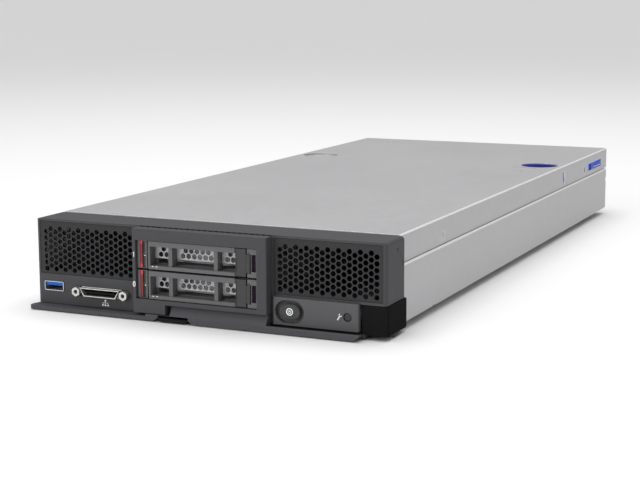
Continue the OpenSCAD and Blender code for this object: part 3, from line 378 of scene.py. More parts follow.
@dataclass(frozen=True)
class SheetSteel(Finish):
    """Zinc-coated sheet: faint spangle, rolling streaks, and a painted highlight on its bends and
    edges.
    """

    pale: Colour = (0.49, 0.485, 0.495)
    deep: Colour = (0.455, 0.45, 0.46)
    # bright: the near-white colour of the painted highlight on bends and edges
    bright: Colour = (0.97, 0.97, 0.97)
    metal: float = 0.35
    rough: float = 0.40
    edge: float = 0.9

    def paint(self, graph: Graph) -> None:
        """Lays zinc, streaks and the light that bends and edges catch."""
        spangle = graph.cells(5.0)
        streaks = graph.noise(2.4, 4.0, (1.0, 0.02, 1.0))
        cloud = graph.noise(70.0, 2.0)
        tone = spangle * 0.22 + streaks * 0.33 + cloud * 0.45
        lift = graph.facing()[2].size()
        # painted highlight on bends: facets tilted part way up are painted near-white
        bend_highlight = lift.step(0.2, 0.5) * (1.0 - lift.step(0.9, 0.97))
        # painted highlight: sharp edges and bends mixed towards near-white, not wear
        edge_wear_and_highlight = graph.edges(self.edge).most(bend_highlight)
        sheet = graph.mix(tone.step(0.2, 0.8), self.deep, self.pale)
        grit = graph.noise(0.35, 2.0)
        graph.surface(
            Base_Color=graph.mix(edge_wear_and_highlight * 0.9, sheet, self.bright),
            Metallic=self.metal - edge_wear_and_highlight * 0.1,
            Roughness=self.rough + tone * 0.12 - edge_wear_and_highlight * 0.08 + grit * 0.05,
            Normal=graph.bump(streaks * 0.6 + grit * 0.4, 0.010, self.edge * 0.5),
        )


@dataclass(frozen=True)
class Moulding(Finish):
    """Spark-textured plastic, with faces that look forward painted lighter as if lit from the
    front.
    """

    body: Colour = (0.0045, 0.0045, 0.005)
    # face: the colour of forward-looking faces, painted lighter as if lit from the front
    face: Colour = (0.020, 0.020, 0.021)
    # rub: paler colour of flecks, of rubbed edges and of the painted edge highlight
    rub_and_highlight: Colour = (0.055, 0.055, 0.057)
    rough: float = 0.62
    grain: float = 0.45
    depth: float = 0.03
    edge: float = 0.35
    gloss: float = 0.03

    def skin(self, graph: Graph) -> Wire:
        """The colour before grain and wear, with painted front light: lighter where the surface
        looks forward.
        """
        # painted front light: faces that look forward take the lighter face colour
        forward = (-1.0 * graph.facing()[1]).step(0.35, 0.9)
        return graph.mix(forward * (0.85 + graph.noise(14.0, 2.0) * 0.3), self.body, self.face)

    def paint(self, graph: Graph) -> None:
        """Lays the grain, the front faces painted lighter as if lit, and edges lightened by
        rubbing and a painted highlight.
        """
        grain = graph.noise(self.grain, 2.0)
        # lighter edges: rubbed wear and a painted highlight
        edge_wear_and_highlight = graph.edges(self.edge)
        fleck = graph.mix(grain.step(0.45, 0.75) * 0.12, self.skin(graph), self.rub_and_highlight)
        graph.surface(
            Base_Color=graph.mix(edge_wear_and_highlight * 0.25, fleck, self.rub_and_highlight),
            Roughness=self.rough + grain * 0.16 - edge_wear_and_highlight * 0.14,
            Normal=graph.bump(grain, self.depth, self.edge * 0.8),
            Specular_IOR_Level=self.gloss,
        )


@dataclass(frozen=True)
class PanelMoulding(Moulding):
    """A moulding with one paler field on its face, such as the handle's thumb plate."""

    field: Colour = (0.085, 0.085, 0.088)
    across: Point = (0.0, 10.0)
    upward: Point = (0.0, 10.0)

    def skin(self, graph: Graph) -> Wire:
        """The moulding's colour, paler inside the field."""
        x, _, z = graph.millimetres()
        inside = (
            x.above(self.across[0]) * (1.0 - x.above(self.across[1]))
            * z.above(self.upward[0]) * (1.0 - z.above(self.upward[1]))
        )
        return graph.mix(inside, super().skin(graph), self.field)


@dataclass(frozen=True)
class Gloss(Finish):
    """Polished moulding with faint dust and hairlines."""

    body: Colour = (0.010, 0.010, 0.011)
    dust: Colour = (0.07, 0.07, 0.075)
    rough: float = 0.16
    coat: float = 0.5

    def paint(self, graph: Graph) -> None:
        """Lays polish, hairlines and dust."""
        hair = graph.noise(0.5, 3.0, (1.0, 1.0, 0.06))
        cloud = graph.noise(5.0, 3.0)
        edge_wear_and_highlight = graph.edges(0.25)
        base = graph.mix(cloud.step(0.5, 0.9) * 0.3 + edge_wear_and_highlight * 0.5, self.body, self.dust)
        graph.surface(
            Base_Color=base,
            Roughness=self.rough + hair * 0.12 + cloud * 0.06,
            Coat_Weight=self.coat - cloud * 0.15,
            Normal=graph.bump(hair, 0.006, 0.2),
        )


@dataclass(frozen=True)
class Plated(Finish):
    """Plated or stamped metal with drawing marks and darker hollows."""

    bright: Colour = (0.62, 0.62, 0.63)
    dull: Colour = (0.40, 0.40, 0.41)
    rough: float = 0.28
    metal: float = 0.85
    marks: float = 1.2

    def paint(self, graph: Graph) -> None:
        """Lays plating, drawing marks and rubbed edges."""
        drawn = graph.noise(self.marks, 4.0, (0.2, 1.0, 1.0))
        stain = graph.noise(self.marks * 4.0, 3.0)
        edge_wear_and_highlight = graph.edges(0.2)
        tone = (drawn * 0.5 + stain * 0.5).step(0.3, 0.7)
        graph.surface(
            Base_Color=graph.mix(tone, self.dull, graph.mix(edge_wear_and_highlight, self.bright, (0.9, 0.9, 0.9))),
            Metallic=self.metal,
            Roughness=self.rough + stain * 0.18 - edge_wear_and_highlight * 0.08,
            Normal=graph.bump(drawn, 0.008, 0.12),
        )


@dataclass(frozen=True)
class Board(Finish):
    """Printed circuit board: solder mask over tracks, plated holes and pads."""

    mask: Colour = (0.010, 0.085, 0.035)
    track: Colour = (0.022, 0.16, 0.065)
    plate: Colour = (0.62, 0.50, 0.25)
    pitch: float = 2.4

    def paint(self, graph: Graph) -> None:
        """Lays tracks, holes and pads on the mask."""
        x, y, _ = graph.millimetres()
        zone = graph.cells(18.0)
        lines_x, lines_y = (
            ((way / self.pitch * 2.0).fraction() - 0.5).size().step(0.22, 0.3) for way in (x, y)
        )
        pick = zone.above(0.5)
        lines = lines_x * pick + lines_y * (1.0 - pick)
        holes = 1.0 - graph.cells(2.6, "Distance").step(0.10, 0.14)
        patch = graph.noise(9.0, 1.0).step(0.5, 0.56)
        mask = graph.mix(lines * patch, self.mask, self.track)
        graph.surface(
            Base_Color=graph.mix(holes * (1.0 - patch), mask, self.plate),
            Metallic=holes * (1.0 - patch) * 0.8,
            Roughness=0.34 + graph.noise(3.0) * 0.2,
            Normal=graph.bump(lines * patch + holes, 0.03),
        )


@dataclass(frozen=True)
class LightGuide(Finish):
    """Lit red strip beside dark green glass, brightest at given heights."""

    dim: Colour = (0.085, 0.002, 0.006)
    lit: Colour = (0.52, 0.008, 0.03)
    glass: Colour = (0.012, 0.016, 0.010)
    seam: float = 0.0
    hot: tuple[float, float] = (0.0, 10.0)
    glow: float = 0.9

    def paint(self, graph: Graph) -> None:
        """Lays the glow along the strip's height and the glass beside it."""
        x, _, z = graph.millimetres()
        near = [1.0 - (z - height).size().step(0.0, 3.2) for height in self.hot]
        mottle = graph.noise(1.4, 2.0)
        share = near[0].most(near[1]) * 0.85 + mottle * 0.2
        red = graph.mix(share, self.dim, self.lit)
        glass = graph.mix(mottle * 0.5, self.glass, (0.035, 0.045, 0.028))
        right = x.step(self.seam - 0.1, self.seam + 0.1)
        graph.surface(
            Base_Color=graph.mix(right, red, glass),
            Emission_Color=graph.mix(right, red, (0.0, 0.0, 0.0)),
            Emission_Strength=self.glow,
            Roughness=0.25 + mottle * 0.15,
            Normal=graph.bump(mottle, 0.02, 0.2),
        )


@dataclass(frozen=True)
class Lamp(Finish):
    """Small lit lens, hottest in its middle."""

    lit: Colour = (1.0, 0.80, 0.58)
    rim: Colour = (0.55, 0.30, 0.16)
    glow: float = 1.1

    def paint(self, graph: Graph) -> None:
        """Lays the glow with a warmer rim."""
        rim = graph.edges(0.3)
        spots = graph.noise(0.3, 2.0)
        tint = graph.mix(rim * 0.7 + spots * 0.2, self.lit, self.rim)
        graph.surface(
            Base_Color=tint, Emission_Color=tint, Emission_Strength=self.glow,
            Roughness=0.2 + spots * 0.1,
        )


@dataclass(frozen=True)
class Print(Finish):
    """Screen-printed ink, a little uneven, with a matt tooth, and a painted glow when glow is
    above nought.
    """

    ink: Colour = (0.85, 0.85, 0.85)
    thin: Colour = (0.55, 0.55, 0.56)
    glow: float = 0.0

    def paint(self, graph: Graph) -> None:
        """Lays ink with thin spots."""
        spots = graph.noise(0.25, 3.0).step(0.5, 0.8)
        ink = graph.mix(spots, self.ink, self.thin)
        graph.surface(
            Base_Color=ink,
            # painted glow: the ink emits light of its own colour at the glow strength
            Emission_Color=ink,
            Emission_Strength=self.glow,
            Roughness=0.55 + spots * 0.2,
            Normal=graph.bump(spots, 0.01),
        )


@dataclass(frozen=True)
class StudioFloor(Finish):
    """Pale paper sweep with a barely visible tooth."""

    paper: Colour = (0.90, 0.90, 0.90)

    def paint(self, graph: Graph) -> None:
        """Lays the paper."""
        tooth = graph.noise(2.0, 3.0)
        cloud = graph.noise(300.0, 2.0)
        tint = graph.mix(cloud * 0.3, self.paper, (0.87, 0.87, 0.875))
        graph.surface(
            Base_Color=tint, Roughness=0.75 + tooth * 0.15, Normal=graph.bump(tooth, 0.02)
        )


SHEET = SheetSteel("zinc_sheet")
CAGE_SHEET = SheetSteel("cage_sheet", (0.36, 0.36, 0.37), (0.30, 0.30, 0.31), rough=0.36)
BEZEL_BLACK = Moulding("bezel_black")
PANEL_GREY = Moulding("panel_grey", (0.010, 0.010, 0.011), (0.028, 0.028, 0.029))
TRAY_GREY = Moulding("tray_grey", (0.020, 0.020, 0.021), (0.048, 0.048, 0.050), grain=0.3)
CAM_BLACK = Moulding("cam_black", (0.006, 0.006, 0.006), (0.010, 0.010, 0.010))
TAB_BLACK = Moulding("tab_black", (0.012, 0.012, 0.013), (0.016, 0.016, 0.017), rough=0.45)
GRILLE_PAINT = Moulding(
    "grille_paint", (0.020, 0.020, 0.021), (0.050, 0.050, 0.052), rough=0.4, grain=0.2, edge=0.2
)
CATCH_PLUM = Moulding(
    "catch_plum", (0.010, 0.006, 0.012), (0.018, 0.011, 0.021), (0.06, 0.045, 0.07), 0.34
)
LEVER_GLOSS = Gloss("lever_gloss")
# paler grey that paints the highlight along each lever's hinge and free edge
LEVER_HIGHLIGHT_PAINT = Moulding("lever_painted_highlight", (0.05, 0.05, 0.051), (0.075, 0.075, 0.077), rough=0.35)
KEY_GLOSS = Gloss("key_gloss", (0.03, 0.03, 0.031), (0.16, 0.16, 0.16), 0.3, 0.2)
KEY_DARK = Gloss("key_dark", (0.012, 0.012, 0.013), (0.06, 0.06, 0.06), 0.3, 0.2)
BLUE_PAD = Moulding(
    "blue_pad", (0.012, 0.016, 0.19), (0.012, 0.016, 0.19), (0.05, 0.07, 0.36), 0.5, 0.5, 0.05
)
BLUE_LATCH = Moulding(
    "blue_latch", (0.07, 0.15, 0.66), (0.05, 0.12, 0.6), (0.35, 0.48, 0.9), 0.42, 0.4
)
BLUE_TONGUE = Moulding(
    "blue_tongue", (0.02, 0.10, 0.42), (0.03, 0.14, 0.55), (0.2, 0.35, 0.8), 0.35, 0.3
)
BLACK_NYLON = Moulding("black_nylon", (0.010, 0.010, 0.010), (0.014, 0.014, 0.015))
IVORY_NYLON = Moulding(
    "ivory_nylon", (0.52, 0.48, 0.38), (0.56, 0.52, 0.42), (0.7, 0.66, 0.56), 0.45
)
NICKEL = Plated("nickel")
STAMPED = Plated("stamped_grille", (0.50, 0.50, 0.51), (0.36, 0.36, 0.37), 0.38, 0.45)
ZINC_SCREW = Plated("zinc_screw", (0.55, 0.55, 0.54), (0.36, 0.36, 0.35), 0.32)
BLACK_SCREW = Plated("black_screw", (0.035, 0.035, 0.036), (0.018, 0.018, 0.019), 0.4, 0.5)
DARK_PIN = Plated("dark_pin", (0.20, 0.20, 0.21), (0.10, 0.10, 0.11), 0.38)
CAST_ZINC = Plated("cast_zinc", (0.46, 0.46, 0.47), (0.33, 0.33, 0.34), 0.45, 0.7, 2.0)
ALUMINIUM = Plated("extruded_aluminium", (0.70, 0.70, 0.71), (0.55, 0.55, 0.56), 0.36)
DISK_CAST = Plated("disk_casting", (0.50, 0.50, 0.51), (0.34, 0.34, 0.35), 0.5, 0.7, 3.0)
BRASS = Plated("brass", (0.72, 0.55, 0.26), (0.50, 0.36, 0.16), 0.30)
GOLD = Plated("gold_plate", (0.90, 0.68, 0.28), (0.72, 0.50, 0.18), 0.22)
CHIP_LID = Plated("chip_lid", (0.62, 0.61, 0.60), (0.50, 0.49, 0.48), 0.33)
CHIP_RESIN = Gloss("chip_resin", (0.014, 0.014, 0.015), (0.05, 0.05, 0.05), 0.45, 0.0)
FERRITE = Moulding("ferrite", (0.06, 0.06, 0.062), (0.06, 0.06, 0.062), (0.16, 0.16, 0.16), 0.6)
BOARD = Board("board_mask")
# white ink with a faint painted glow, though print is no lamp
GLOWING_WHITE_PRINT = Print("white_print_painted_glow", glow=0.10)
PRINT_GREY = Print("print_grey", (0.22, 0.20, 0.21), (0.28, 0.26, 0.27))
PRINT_BLUE = Print("print_blue", (0.50, 0.52, 0.88), (0.36, 0.40, 0.80))
LAMP_WARM = Lamp("lamp_warm")
LAMP_WHITE = Lamp("lamp_white", (0.80, 0.88, 0.82), (0.42, 0.48, 0.44), 0.5)
LAMP_OFF = Gloss("lamp_off", (0.10, 0.10, 0.095), (0.2, 0.2, 0.19), 0.12, 0.6)


# ---------------------------------------------------------------- mesh forging


class Facing(Enum):
    """The side of the server that a flat piece looks out of, as its own X, Y and Z."""

    FRONT = ((1, 0, 0), (0, 0, 1), (0, -1, 0))
    REAR = ((-1, 0, 0), (0, 0, 1), (0, 1, 0))
    TOP = ((1, 0, 0), (0, 1, 0), (0, 0, 1))
    BOTTOM = ((1, 0, 0), (0, -1, 0), (0, 0, -1))
    RIGHT = ((0, 1, 0), (0, 0, 1), (1, 0, 0))

    def matrix(self, origin: Sequence[float]) -> Matrix:
        """The placing of a piece drawn in its own plane, with its root at origin."""
        rows = Matrix([Vector(axis) for axis in self.value]).transposed().to_4x4()
        return Matrix.Translation(Vector(origin)) @ rows


class Extent:
    """A node's box at rest, in millimetres."""

    def __init__(self, *nodes: str) -> None:
        """Takes one box round all the nodes named."""
        corners = [Vector(c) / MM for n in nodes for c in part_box(n)]
        self.low = Vector([min(c[i] for c in corners) for i in range(3)])
        self.high = Vector([max(c[i] for c in corners) for i in range(3)])

    @property
    def middle(self) -> Vector:
        """The centre of the box."""
        return (self.low + self.high) / 2

    @property
    def span(self) -> Vector:
        """The lengths of the box's sides."""
        return self.high - self.low


def boxed(node: str) -> Extent:
    """A dataclass field that holds a node's box, looked up when the group is made."""
    return field(default_factory=lambda: Extent(node))


class Outline:
    """Flat outlines, drawn anticlockwise in millimetres."""

    @staticmethod
    def round_rect(width: float, height: float, radius: float, steps: int = 5) -> list[Point]:
        """A rectangle with round corners, centred on nought.

        Args:
            width: its width.
            height: its height.
            radius: the corners' radius.
            steps: facets in each corner.

        Returns:
            The outline's points.
        """
        points: list[Point] = []
        for turn, (sx, sy) in enumerate([(1, 1), (-1, 1), (-1, -1), (1, -1)]):
            cx, cy = sx * (width / 2 - radius), sy * (height / 2 - radius)
            for step in range(steps + 1):
                angle = math.pi / 2 * (turn + step / steps)
                points.append((cx + radius * math.cos(angle), cy + radius * math.sin(angle)))
        return points

    @staticmethod
    def arc(
        radius: float, start: float, end: float, steps: int, squash: float = 1.0
    ) -> list[Point]:
        """Points along an arc.

        Args:
            radius: its radius.
            start: its first angle, in degrees.
            end: its last angle, in degrees.
            steps: how many facets it has.
            squash: its width as a share of its height.

        Returns:
            The arc's points, both ends included.
        """
        angles = [math.radians(start + (end - start) * i / steps) for i in range(steps + 1)]
        return [(radius * squash * math.cos(a), radius * math.sin(a)) for a in angles]


class Workpiece:
    """Solids gathered into one mesh, worked in millimetres."""

    def __init__(self, name: str) -> None:
        """Starts an empty mesh of that name."""
        self.name = name
        self.mesh = bmesh.new()

    def _loops(self, loops: Sequence[Sequence[Vector]], caps: bool = True) -> None:
        """Skins closed loops of equal length, with flat ends.

        Args:
            loops: the loops in order.
            caps: whether the first and last loops are filled.
        """
        rows = [[self.mesh.verts.new(p) for p in loop] for loop in loops]
        count = len(rows[0])
        for lower, upper in zip(rows, rows[1:]):
            for i in range(count):
                j = (i + 1) % count
                self.mesh.faces.new((lower[i], lower[j], upper[j], upper[i]))
        if caps:
            self.mesh.faces.new(list(reversed(rows[0])))
            self.mesh.faces.new(rows[-1])

    def slab(
        self,
        outline: Sequence[Point],
        origin: Sequence[float],
        facing: Facing,
        thick: float,
        edge: float = 0.0,
        sunk: float = 0.0,
    ) -> "Workpiece":
        """Adds a plate with a rounded-over rim.

        Args:
            outline: its outline in its own plane.
            origin: where the outline's origin stands on the surface below.
            facing: the side that it looks out of.
            thick: how far it stands out.
            edge: the rim's rounding.
            sunk: how far it reaches below the surface.

        Returns:
            The workpiece, for the next solid.
        """
        place = facing.matrix(origin)
        centre = Vector((sum(p[0] for p in outline), sum(p[1] for p in outline))) / len(outline)
        levels = [(-sunk, 0.0), (thick - edge, 0.0)]
        if edge:
            levels = [(-sunk, 0.0)] + [
                (thick - edge + edge * math.sin(a), edge * (1 - math.cos(a)))
                for a in (0.0, math.pi / 6, math.pi / 3, math.pi / 2)
            ]
        loops = []
        for height, inset in levels:
            loop = []
            for x, y in outline:
                way = Vector((x, y)) - centre
                kept = way * max(0.0, 1 - inset / max(way.length, 1e-6))
                flat = centre + kept
                loop.append(place @ Vector((flat.x, flat.y, height)))
            loops.append(loop)
        self._loops(loops)
        return self

    def turned(
        self,
        profile: Sequence[Point],
        origin: Sequence[float],
        facing: Facing,
        facets: int = 24,
        closed: bool = False,
    ) -> "Workpiece":
        """Adds a turned solid.

        Args:
            profile: radius and height, from the root outwards.
            origin: where the axis meets the surface.
            facing: the way that the axis points.
            facets: how many sides it has.
            closed: whether the profile is a closed ring section.

        Returns:
            The workpiece, for the next solid.
        """
        place = facing.matrix(origin)
        loops = [
            [
                place @ Vector((r * math.cos(a), r * math.sin(a), h))
                for a in (2 * math.pi * i / facets for i in range(facets))
            ]
            for r, h in profile
        ]
        if closed:
            loops.append(loops[0])
        self._loops(loops, caps=not closed)
        return self

    def ring(
        self,
        radius: float,
        section: float,
        origin: Sequence[float],
        facing: Facing,
        flat: float = 1.0,
    ) -> "Workpiece":
        """Adds a round ring.

        Args:
            radius: to the middle of the section.
            section: the section's radius.
            origin: the ring's centre.
            facing: the way that its axis points.
            flat: the section's height as a share of its width.

        Returns:
            The workpiece, for the next solid.
        """
        section_points = [
            (radius + section * math.cos(a), section * flat * math.sin(a))
            for a in (2 * math.pi * i / 8 for i in range(8))
        ]
        return self.turned(section_points, origin, facing, 32, closed=True)

    def stroke(
        self,
        path: Sequence[Point],
        width: float,
        origin: Sequence[float],
        facing: Facing,
        thick: float,
        closed: bool = False,
    ) -> "Workpiece":
        """Adds a flat line of ink or a rib along a path.

        Args:
            path: the points of its middle line.
            width: the line's width.
            origin: where the path's origin stands.
            facing: the side that it looks out of.
            thick: how far it stands out.
            closed: whether the path ends where it starts.

        Returns:
            The workpiece, for the next solid.
        """
        place = facing.matrix(origin)
        points = [Vector(p) for p in path]
        count = len(points)
        sections = []
        for i, here in enumerate(points):
            before = points[i - 1] if i or closed else here
            after = points[(i + 1) % count] if i + 1 < count or closed else here
            way = (after - before).normalized()
            side = Vector((-way.y, way.x)) * width / 2
            left, right = here + side, here - side
            sections.append(
                [
                    place @ Vector((left.x, left.y, -0.02)),
                    place @ Vector((right.x, right.y, -0.02)),
                    place @ Vector((right.x, right.y, thick)),
                    place @ Vector((left.x, left.y, thick)),
                ]
            )
        if closed:
            sections.append(sections[0])
        self._loops(sections, caps=not closed)
        return self

    def tube(
        self, path: Sequence[Sequence[float]], radius: float, facets: int = 8
    ) -> "Workpiece":
        """Adds a round wire along a path.

        Args:
            path: points in the server's frame.
            radius: the wire's radius.
            facets: how many sides it has.

        Returns:
            The workpiece, for the next solid.
        """
        points = [Vector(p) for p in path]
        side = Vector((0.13, 0.31, 0.94))
        loops = []
        for i, here in enumerate(points):
            way = (points[min(i + 1, len(points) - 1)] - points[max(i - 1, 0)]).normalized()
            side = (side - way * side.dot(way)).normalized()
            other = way.cross(side)
            loops.append(
                [
                    here + (side * math.cos(a) + other * math.sin(a)) * radius
                    for a in (2 * math.pi * k / facets for k in range(facets))
                ]
            )
        self._loops(loops)
        return self

    def done(self, finish: Finish, body: str, smooth: bool = True) -> bpy.types.Object:
        """Turns the mesh into a piece that rides on a body.

        Args:
            finish: the finish that it takes.
            body: the CAD body that carries it.
            smooth: whether gentle corners are shaded as curves.

        Returns:
            The piece.
        """
        bmesh.ops.remove_doubles(self.mesh, verts=self.mesh.verts, dist=WELD)
        bmesh.ops.recalc_face_normals(self.mesh, faces=self.mesh.faces)
        bmesh.ops.scale(self.mesh, vec=(MM, MM, MM), verts=self.mesh.verts)
        data = bpy.data.meshes.new(self.name)
        self.mesh.to_mesh(data)
        self.mesh.free()
        if smooth:
            data.shade_smooth()
            data.set_sharp_from_angle(angle=math.radians(CREASE))
        data.materials.append(finish.material())
        piece = bpy.data.objects.new(self.name, data)
        bpy.context.scene.collection.objects.link(piece)
        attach(piece, body)
        log.info("%s: %d faces on %s", self.name, len(data.polygons), body)
        return piece


# --------------------------------------------------------------- sub-assemblies


@dataclass
class SubAssembly:
    """A group of pieces that are dressed and detailed together."""

    def dress(self) -> None:
        """Covers the group's CAD nodes with their finishes."""

    def build(self) -> None:
        """Adds the group's fine details."""


@dataclass
class Shell(SubAssembly):
    """The sheet-metal case: cover, base, rear panel and their pressed details."""

    case: Extent = boxed("chassis_base")
    cover: Extent = boxed("top_cover")
    pad: Extent = boxed("touch_pad")
    latch: Extent = boxed("cover_latch")
    clinch_rows: tuple[float, ...] = (30.0, 150.0, 290.0, 420.0)
    clinch_inset: float = 9.0
    floor_rise: float = 1.45
    rib_radii: tuple[float, ...] = (2.4, 4.6, 6.8, 9.0)
    ink: float = 0.02
    line_path: tuple[Point, ...] = ((-18.0, 0.0), (-9.0, -1.4), (0.0, -2.8))
    line_from_pad: Point = (3.0, -3.0)
    dot_from_line: Point = (-6.0, -20.0)
    mark_width: float = 1.1
    rivet_offset: Point = (8.4, 5.3)
    crescent_back: float = 80.0
    crescent_drop: float = 0.2
    flange_inset: float = 0.3

    def dress(self) -> None:
        """Covers the case's nodes."""
        SHEET.cover("chassis_base", "top_cover", "rear_panel")
        BLUE_PAD.cover("touch_pad")
        BLUE_LATCH.cover("cover_latch")

    def build(self) -> None:
        """Adds the pad's ribs, the printed marks, the side button and the clinches."""
        self.pad_ribs()
        self.marks()
        self.rivet()
        self.side_button()
        self.paint_latch_highlight()
        self.clinches()

    def pad_ribs(self) -> None:
        """Raises fine concentric ribs on the round pad."""
        centre = (self.pad.middle.x, self.pad.middle.y, self.pad.high.z)
        ribs = Workpiece("pad_ribs")
        for radius in self.rib_radii:
            ribs.ring(radius, 0.25, centre, Facing.TOP, 0.4)
        ribs.done(BLUE_PAD, "cover")

    def marks(self) -> None:
        """Prints the thin line and the dot in front of the pad."""
        top = self.cover.high.z
        x = self.pad.middle.x + self.line_from_pad[0]
        y = self.pad.low.y + self.line_from_pad[1]
        dot = (x + self.dot_from_line[0], y + self.dot_from_line[1], top)
        disc = [(self.mark_width, -self.ink), (self.mark_width, self.ink)]
        ink = Workpiece("cover_marks")
        ink.stroke(self.line_path, self.mark_width, (x, y, top), Facing.TOP, self.ink)
        ink.turned(disc, dot, Facing.TOP)
        ink.done(PRINT_GREY, "cover", smooth=False)

    def rivet(self) -> None:
        """Sets the small flush rivet in the left pocket."""
        x = -self.pad.middle.x + self.rivet_offset[0]
        centre = (x, self.pad.middle.y + self.rivet_offset[1], self.pad.low.z)
        rivet = Workpiece("pocket_rivet")
        rivet.turned([(2.4, -0.02), (2.4, 0.25), (2.0, 0.5), (0.8, 0.55)], centre, Facing.TOP)
        rivet.ring(3.2, 0.2, centre, Facing.TOP, 0.5)
        rivet.done(ZINC_SCREW, "cover")

    def side_button(self) -> None:
        """Adds the crescent mark and its rim on the cover's right flange."""
        x = self.latch.high.x - self.flange_inset
        z = self.latch.middle.z - self.crescent_drop
        middle = (x, self.latch.low.y - self.crescent_back, z)
        for name, radius, half, width, proud, finish in (
            ("flange_crescent", 4.1, 66, 1.5, 0.12, PRINT_BLUE),
            ("flange_rim", 5.4, 64, 0.7, 0.2, SHEET),
        ):
            bow = Workpiece(name)
            bow.stroke(
                Outline.arc(radius, -half, half, 16, 0.9), width, middle, Facing.RIGHT, proud
            )
            bow.done(finish, "cover")

    def paint_latch_highlight(self) -> None:
        """Raises a pale blue strip along the lower lip of the cover latch's pad, a painted
        highlight.
        """
        lip = Workpiece("latch_highlight_strip")
        length = self.latch.span.y - 16.0
        outline = Outline.round_rect(length, 0.7, 0.3, 3)
        place = (self.latch.high.x - 0.05, self.latch.middle.y + 3.0, self.latch.middle.z - 1.1)
        lip.slab(outline, place, Facing.RIGHT, 0.25, 0.15)
        # the pale print blue stands in for the highlight on the lower lip
        lip.done(PRINT_BLUE, "latch")

    def clinches(self) -> None:
        """Adds the round press joints along the base's underside."""
        rings = Workpiece("clinch_joints")
        floor = self.case.low.z + self.floor_rise
        for row in self.clinch_rows:
            for side in (-1, 1):
                x = side * (self.case.high.x - self.clinch_inset)
                centre = (x, self.case.low.y + row, floor)
                rings.ring(2.1, 0.3, centre, Facing.BOTTOM, 0.25)
                rings.turned([(1.3, -0.05), (1.3, 0.1), (0.9, 0.2)], centre, Facing.BOTTOM, 16)
        rings.done(SHEET, "chassis")


